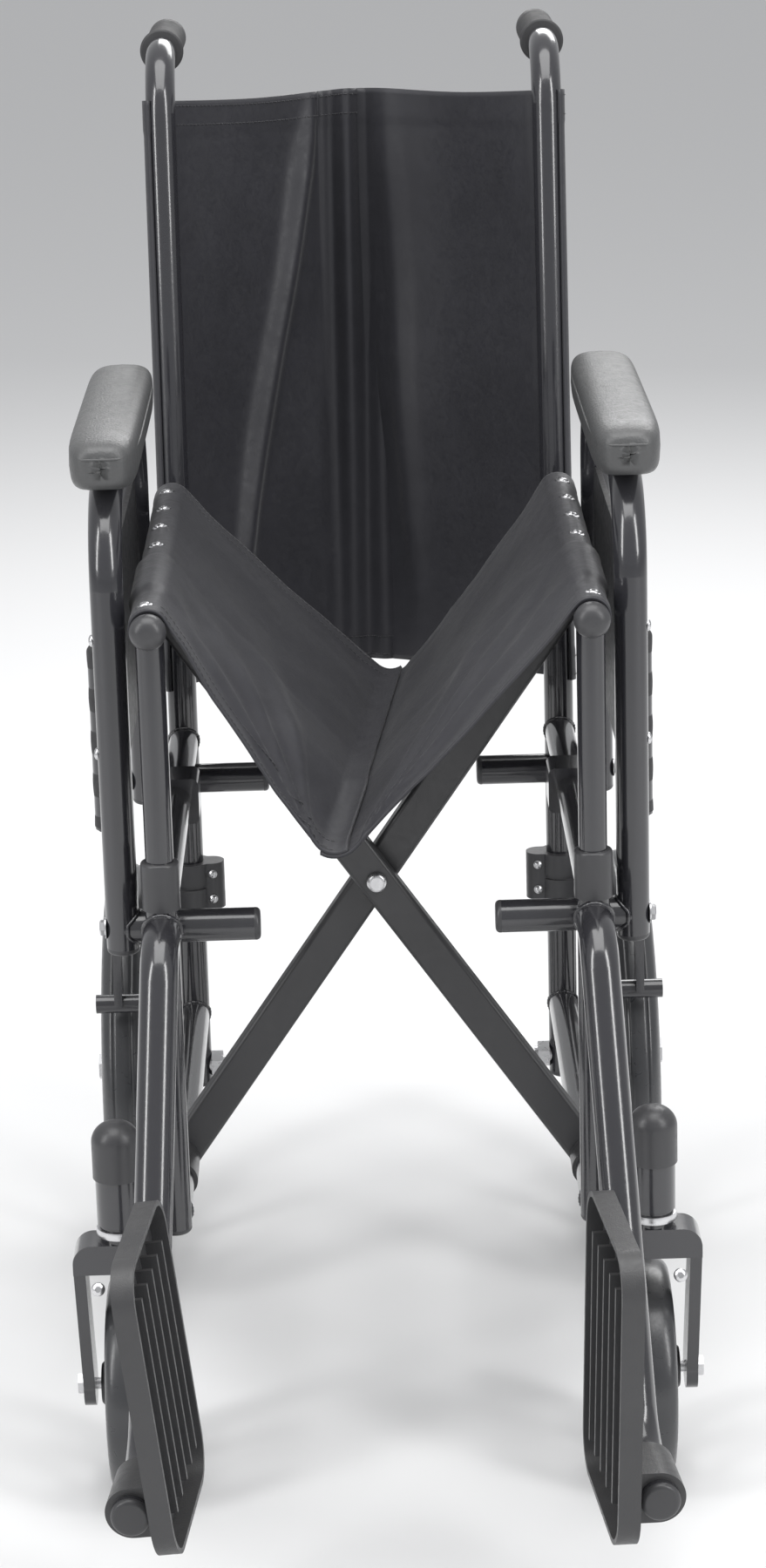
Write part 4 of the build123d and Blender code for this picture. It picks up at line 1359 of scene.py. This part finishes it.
@dataclass
class PushGrip:
    """A ribbed rubber hand grip with a flange in front and a rounded end."""

    radius: float = 14.5 * MM
    flange_r: float = 16.5 * MM
    ribs: int = 20

    def build(self, side: Side, keeper: Keeper) -> None:
        """Makes one grip over its cane's end.

        Args:
            side: Which side of the chair.
            keeper: Registers the pieces.
        """
        node = f"push_grip_{side.label}"
        low, high = low_high(node)
        centre = (low + high) / 2
        length = high.y - low.y
        profile = [(11.4 * MM, 0.0), (self.flange_r - 1.5 * MM, 0.0)]
        profile += arc_profile(2.0 * MM, -80, 80, (self.flange_r - 2.0 * MM, 2.6 * MM), 6)
        start, end = 6.5 * MM, length - 14 * MM
        steps = self.ribs * 8
        for step in range(steps + 1):
            share = step / steps
            wave = 0.5 * (1 - math.cos(math.tau * self.ribs * share))
            profile.append((self.radius - 0.9 * MM + 0.9 * MM * wave ** 0.6, start + (end - start) * share))
        profile += arc_profile(4.5 * MM, 0, 88, (self.radius - 4.5 * MM, length - 4.5 * MM), 8)
        profile.append((2 * MM, length))
        bag = MeshBag()
        bag.lathe(profile, Vector((centre.x, low.y, centre.z)), Vector((0, 1, 0)), 48)
        keeper.keep(bag.piece(f"hand_grip_{side.label}", 50), f"frame_{side.label}", "grip_rubber",
                    [node])


@dataclass
class RollingWheel:
    """A moulded spoked wheel with a solid tyre."""

    kind: str
    body: str
    tyre_depth: float
    rim_w: float
    rim_t: float
    hub_r: float
    hub_w: float
    bore_r: float
    spokes: int
    spoke_w: float
    spoke_t: float
    grooves: tuple[float, ...]

    def build(self, side: Side, keeper: Keeper) -> None:
        """Makes the wheel and its tyre.

        Args:
            side: Which side of the chair.
            keeper: Registers the pieces.
        """
        tyre_node = f"{self.kind}_tyre_{side.label}"
        low, high = low_high(tyre_node)
        centre, outer = (low + high) / 2, (high.z - low.z) / 2
        wide = high.x - low.x
        axis = Vector((1, 0, 0))
        body = f"{self.body}_{side.label}"
        bag = MeshBag()
        bag.ring_lathe(self._tyre_section(outer, wide), centre, axis, 128)
        keeper.keep(bag.piece(f"{self.kind}_tyre_ring_{side.label}", 40), body, "tyre_rubber",
                    [tyre_node])
        rim_r = outer - self.tyre_depth
        wheel = MeshBag()
        wheel.ring_lathe(self._rim_section(rim_r), centre, axis, 128)
        hub = [(self.bore_r, -self.hub_w / 2), (self.hub_r - 1.5 * MM, -self.hub_w / 2),
               (self.hub_r, -self.hub_w / 2 + 1.5 * MM), (self.hub_r, self.hub_w / 2 - 1.5 * MM),
               (self.hub_r - 1.5 * MM, self.hub_w / 2), (self.bore_r, self.hub_w / 2)]
        wheel.ring_lathe(hub, centre, axis, 64)
        for index in range(self.spokes):
            self._spoke(wheel, centre, rim_r, math.tau * index / self.spokes)
        keeper.keep(wheel.piece(f"{self.kind}_spoked_wheel_{side.label}"), body, "moulded_plastic",
                    [f"{self.kind}_wheel_{side.label}"])

    def _tyre_section(self, outer: float, wide: float) -> list[tuple[float, float]]:
        """The tyre's closed section: crowned tread with grooves and soft sidewalls.

        Args:
            outer: The outer radius.
            wide: The width.

        Returns:
            Radius and distance along the axis of each point.
        """
        inner = outer - self.tyre_depth
        section = [(inner, -wide * 0.36), (inner + self.tyre_depth * 0.12, -wide * 0.44)]
        steps = 40
        for step in range(steps + 1):
            share = step / steps * 2 - 1
            side_fall = (1 - abs(share) ** 2.6) ** (1 / 2.6)
            radius = inner + self.tyre_depth * (0.2 + 0.8 * side_fall)
            for groove in self.grooves:
                radius -= 0.9 * MM * math.exp(-((share - groove) / 0.045) ** 2)
            section.append((radius, share * wide / 2))
        section += [(inner + self.tyre_depth * 0.12, wide * 0.44), (inner, wide * 0.36)]
        return section

    def _rim_section(self, rim_r: float) -> list[tuple[float, float]]:
        """The rim's closed section, with a lip on both edges."""
        half, lip = self.rim_w / 2, 1.6 * MM
        return [(rim_r - self.rim_t, -half + lip), (rim_r - self.rim_t * 0.5, -half), (rim_r, -half),
                (rim_r, half), (rim_r - self.rim_t * 0.5, half), (rim_r - self.rim_t, half - lip)]

    def _spoke(self, bag: MeshBag, centre: Vector, rim_r: float, angle: float) -> None:
        """One spoke, waisted between the hub and the rim.

        Args:
            bag: What the shape goes into.
            centre: The wheel's middle.
            rim_r: The rim's outer radius.
            angle: The spoke's bearing in radians.
        """
        out = Vector((0, math.cos(angle), math.sin(angle)))
        across = Vector((0, -math.sin(angle), math.cos(angle)))
        start, end = self.hub_r * 0.8, rim_r - self.rim_t * 0.6
        outline = []
        for direction in (1, -1):
            for step in range(9):
                share = step / 8 if direction == 1 else 1 - step / 8
                waist = 0.62 + 0.38 * (2 * share - 1) ** 2 + 0.25 * max(0.0, share - 0.85) / 0.15
                reach = start + (end - start) * share
                outline.append(centre + out * reach + across * direction * self.spoke_w / 2 * waist)
        depth = Vector((self.spoke_t, 0, 0))
        bag.slab([point - depth / 2 for point in outline], depth, 1.2 * MM)


@dataclass
class WeldBeads:
    """Weld beads where the frame's tubes meet."""

    bead_r: float = 1.5 * MM
    ripple: float = 0.25 * MM

    def saddle(self, bag: MeshBag, centre: Vector, out: Vector, post_axis: Vector, branch_r: float,
               post_r: float) -> None:
        """A bead round a branch tube where it meets a post tube.

        Args:
            bag: What the bead goes into.
            centre: Where the two tubes' axes meet.
            out: The branch's direction, away from the post.
            post_axis: The post's direction.
            branch_r: The branch's outer radius.
            post_r: The post's outer radius.
        """
        lateral = post_axis.cross(out).normalized()
        path = []
        for step in range(72):
            angle = math.tau * step / 72
            sideways = branch_r * math.cos(angle)
            depth = math.sqrt(max(post_r ** 2 - sideways ** 2, (0.35 * post_r) ** 2))
            path.append(centre + out * (depth + 0.3 * MM) + lateral * sideways
                        + post_axis * branch_r * math.sin(angle))
        bag.rope(path, lambda share: self.bead_r + self.ripple * math.sin(share * math.tau * 30), closed=True)

    def build(self, datum: Datum, keeper: Keeper) -> None:
        """Makes the beads of both side frames.

        Args:
            datum: The frame's places.
            keeper: Registers the pieces.
        """
        up, ahead = Vector((0, 0, 1)), Vector((0, -1, 0))
        r = datum.tube_r
        for side in Side:
            sign = side.value
            bag = MeshBag()
            x = sign * datum.frame_x
            for z in (datum.lower_z, datum.upper_z):
                self.saddle(bag, Vector((x, datum.rear_y, z)), ahead, up, r, r)
                if z == datum.lower_z:
                    self.saddle(bag, Vector((x, datum.front_y, z)), -ahead, up, r, r)
            stub_low, stub_high = low_high(f"stub_tubes_{side.label}")
            stub_z = (stub_low.z + stub_high.z) / 2
            outward = Vector((sign, 0, 0))
            for y in (stub_low.y + r, stub_high.y - r):
                self.saddle(bag, Vector((sign * datum.arm_x, y, stub_z)), -outward, up, r, r)
                line = [Vector((x + sign * 0.7 * r * math.cos(a), y + 0.9 * r * math.sin(a),
                                datum.upper_z - r * 0.97)) for a in (math.tau * k / 40 for k in range(40))]
                bag.rope(line, self.bead_r, closed=True)
            hanger_z = low_high(f"hanger_{side.label}")[1].z - 12.7 * MM
            self.saddle(bag, Vector((x, datum.front_y, hanger_z)), ahead, up, 12.7 * MM, r + 2.2 * MM)
            keeper.keep(bag.piece(f"weld_beads_{side.label}", None), f"frame_{side.label}", "black_paint")


@dataclass
class Fasteners:
    """Bolts, domed screws and bearing rings that show on the side frames, arm pads, casters and footplates.
    """

    def hex_bolt(self, bag: MeshBag, foot: Vector, out: Vector, across_r: float, thick: float) -> None:
        """A hex head with an eased crown, on a washer.

        Args:
            bag: What the shape goes into.
            foot: Where it sits.
            out: The way that it faces.
            across_r: Half the width over its corners.
            thick: The head's height.
        """
        bag.lathe([(0, 0), (across_r * 1.35, 0), (across_r * 1.35, 1.0 * MM), (0, 1.0 * MM)], foot, out, 28)
        first, second = axes_round(out)
        rings = []
        for size, rise in ((1.0, 0.9 * MM), (1.0, thick - 0.8 * MM), (0.86, thick)):
            rings.append([foot + out * rise + (first * math.cos(a) + second * math.sin(a)) * across_r * size
                          for a in (math.tau * k / 6 for k in range(6))])
        bag.rings(rings)

    def button(self, bag: MeshBag, foot: Vector, out: Vector, radius: float) -> None:
        """A low domed head with a round drive recess."""
        profile = [(0, -0.4 * MM), (radius, -0.4 * MM), (radius, 0.6 * MM), (radius * 0.85, 1.5 * MM),
                   (radius * 0.45, 2.2 * MM), (radius * 0.4, 1.2 * MM), (0, 1.1 * MM)]
        bag.lathe(profile, foot, out, 24)

    def build(self, datum: Datum, keeper: Keeper) -> None:
        """Makes the fasteners of both sides.

        Args:
            datum: The frame's places.
            keeper: Registers the pieces.
        """
        for side in Side:
            sign = side.value
            out = Vector((sign, 0, 0))
            panel_low, panel_high = low_high(f"side_panel_{side.label}")
            arm_low, arm_high = low_high(f"arm_frame_{side.label}")
            bag = MeshBag()
            for y in (arm_low.y + datum.tube_r, arm_high.y - datum.tube_r):
                for share in SCREW_SHARES:
                    z = panel_low.z + (panel_high.z - panel_low.z) * share
                    self.button(bag, Vector((sign * datum.arm_x + sign * datum.tube_r, y, z)), out, 4.0 * MM)
            stub_low, stub_high = low_high(f"stub_tubes_{side.label}")
            stub_z = (stub_low.z + stub_high.z) / 2
            for y in (stub_low.y + datum.tube_r, stub_high.y - datum.tube_r):
                self.hex_bolt(bag, Vector((sign * (datum.arm_x + datum.tube_r - 0.2 * MM), y, stub_z)), out,
                              5.5 * MM, 4.5 * MM)
            clamp = middle(f"post_clamp_{side.label}")
            for rise in (-10 * MM, 10 * MM):
                foot = Vector((sign * (datum.frame_x - 18 * MM), clamp.y - 10 * MM, clamp.z + rise))
                self.button(bag, foot, Vector((0, -1, 0)), 3.6 * MM)
            keeper.keep(bag.piece(f"frame_fasteners_{side.label}"), f"frame_{side.label}", "zinc")
            self._caster_details(side, keeper)
            self._footplate_details(side, keeper)
            self._pad_bolts(side, datum, keeper)

    def _pad_bolts(self, side: Side, datum: Datum, keeper: Keeper) -> None:
        """The two screws that hold an arm pad, under the arm tube.

        Args:
            side: Which side of the chair.
            datum: The frame's places.
            keeper: Registers the pieces.
        """
        low, high = low_high(f"armrest_pad_{side.label}")
        arm_high = low_high(f"arm_frame_{side.label}")[1]
        bag = MeshBag()
        for share in SCREW_SHARES:
            foot = Vector((side.value * datum.arm_x, low.y + (high.y - low.y) * share,
                           arm_high.z - 2 * datum.tube_r))
            self.button(bag, foot, Vector((0, 0, -1)), 4.2 * MM)
        keeper.keep(bag.piece(f"arm_pad_screws_{side.label}"), f"frame_{side.label}", "zinc")

    def _caster_details(self, side: Side, keeper: Keeper) -> None:
        """The bright bearing ring under the caster barrel.

        Args:
            side: Which side of the chair.
            keeper: Registers the pieces.
        """
        barrel_low, _ = low_high(f"caster_housing_{side.label}")
        fork_low, fork_high = low_high(f"caster_fork_{side.label}")
        stem = Vector(((fork_low.x + fork_high.x) / 2, fork_low.y + 14 * MM, barrel_low.z))
        bag = MeshBag()
        section = [(13.6 * MM, -9.0 * MM), (15.4 * MM, -8.2 * MM), (16.0 * MM, -5.6 * MM),
                   (15.4 * MM, -3.0 * MM), (13.6 * MM, -2.4 * MM)]
        bag.ring_lathe(section, stem, Vector((0, 0, 1)), 48)
        keeper.keep(bag.piece(f"caster_bearing_ring_{side.label}"), f"caster_{side.label}", "zinc")

    def _footplate_details(self, side: Side, keeper: Keeper) -> None:
        """The bright screw near the footplate's top front corner.

        Args:
            side: Which side of the chair.
            keeper: Registers the pieces.
        """
        low, high = low_high(f"footplate_{side.label}")
        bag = MeshBag()
        x = high.x - 6 * MM if side is Side.RIGHT else low.x + 6 * MM
        foot = Vector((x, low.y + 16 * MM, high.z - 14 * MM))
        self.button(bag, foot, Vector((0, -1, 0.3)).normalized(), 4.2 * MM)
        keeper.keep(bag.piece(f"footplate_screw_{side.label}"), f"foot_{side.label}", "zinc")


@dataclass
class LockGrip:
    """The moulded handle over each wheel-lock lever."""

    radius: float = 11.4 * MM
    low_z: float = 0.402
    high_z: float = 0.5405

    def build(self, side: Side, datum: Datum, keeper: Keeper) -> None:
        """Makes one handle with finger waves.

        Args:
            side: Which side of the chair.
            datum: The frame's places.
            keeper: Registers the pieces.
        """
        centre = middle(f"lock_lever_{side.label}")
        foot = Vector((side.value * datum.wheel_x, centre.y, self.low_z))
        length = self.high_z - self.low_z
        profile = [(6 * MM, -1.5 * MM), (9 * MM, -1.5 * MM), (10.4 * MM, 1 * MM)]
        for step in range(41):
            share = step / 40
            wave = 0.5 * (1 - math.cos(math.tau * 4 * share))
            profile.append((self.radius - 0.7 * MM * wave, 2 * MM + (length - 10 * MM) * share))
        profile += arc_profile(6 * MM, 0, 85, (self.radius - 6 * MM, length - 5.6 * MM), 6)
        profile.append((1 * MM, length + 0.3 * MM))
        bag = MeshBag()
        bag.lathe(profile, foot, Vector((0, 0, 1)), 36)
        keeper.keep(bag.piece(f"lock_handle_{side.label}", 50), f"lock_{side.label}", "grip_rubber")


def main() -> None:
    """Builds the chair round its frame."""
    logging.basicConfig(level=logging.INFO, format="%(name)s: %(message)s")
    bpy.context.scene.view_settings.view_transform = "Standard"
    datum = Datum.measure()
    palette = Palette()
    keeper = Keeper(palette)
    Studio().build(datum)
    PaintedFrame(palette).build()
    SeatSling().build(datum, keeper)
    SeatScrews().build(datum, keeper)
    BackSling().build(datum, keeper)
    rear = RollingWheel("rear", "rear_roller", 26 * MM, 24 * MM, 14 * MM, 22 * MM, 44 * MM, 6.05 * MM, 8,
                        20 * MM, 10 * MM, (-0.4, 0.4))
    front = RollingWheel("caster", "caster_roller", 14 * MM, 20 * MM, 8 * MM, 15 * MM, 40 * MM, 4.05 * MM, 5,
                         18 * MM, 9 * MM, ())
    for side in Side:
        ArmPad().build(side, keeper)
        PushGrip().build(side, keeper)
        rear.build(side, keeper)
        front.build(side, keeper)
        LockGrip().build(side, datum, keeper)
    WeldBeads().build(datum, keeper)
    Fasteners().build(datum, keeper)


if __name__ == "__main__":
    main()
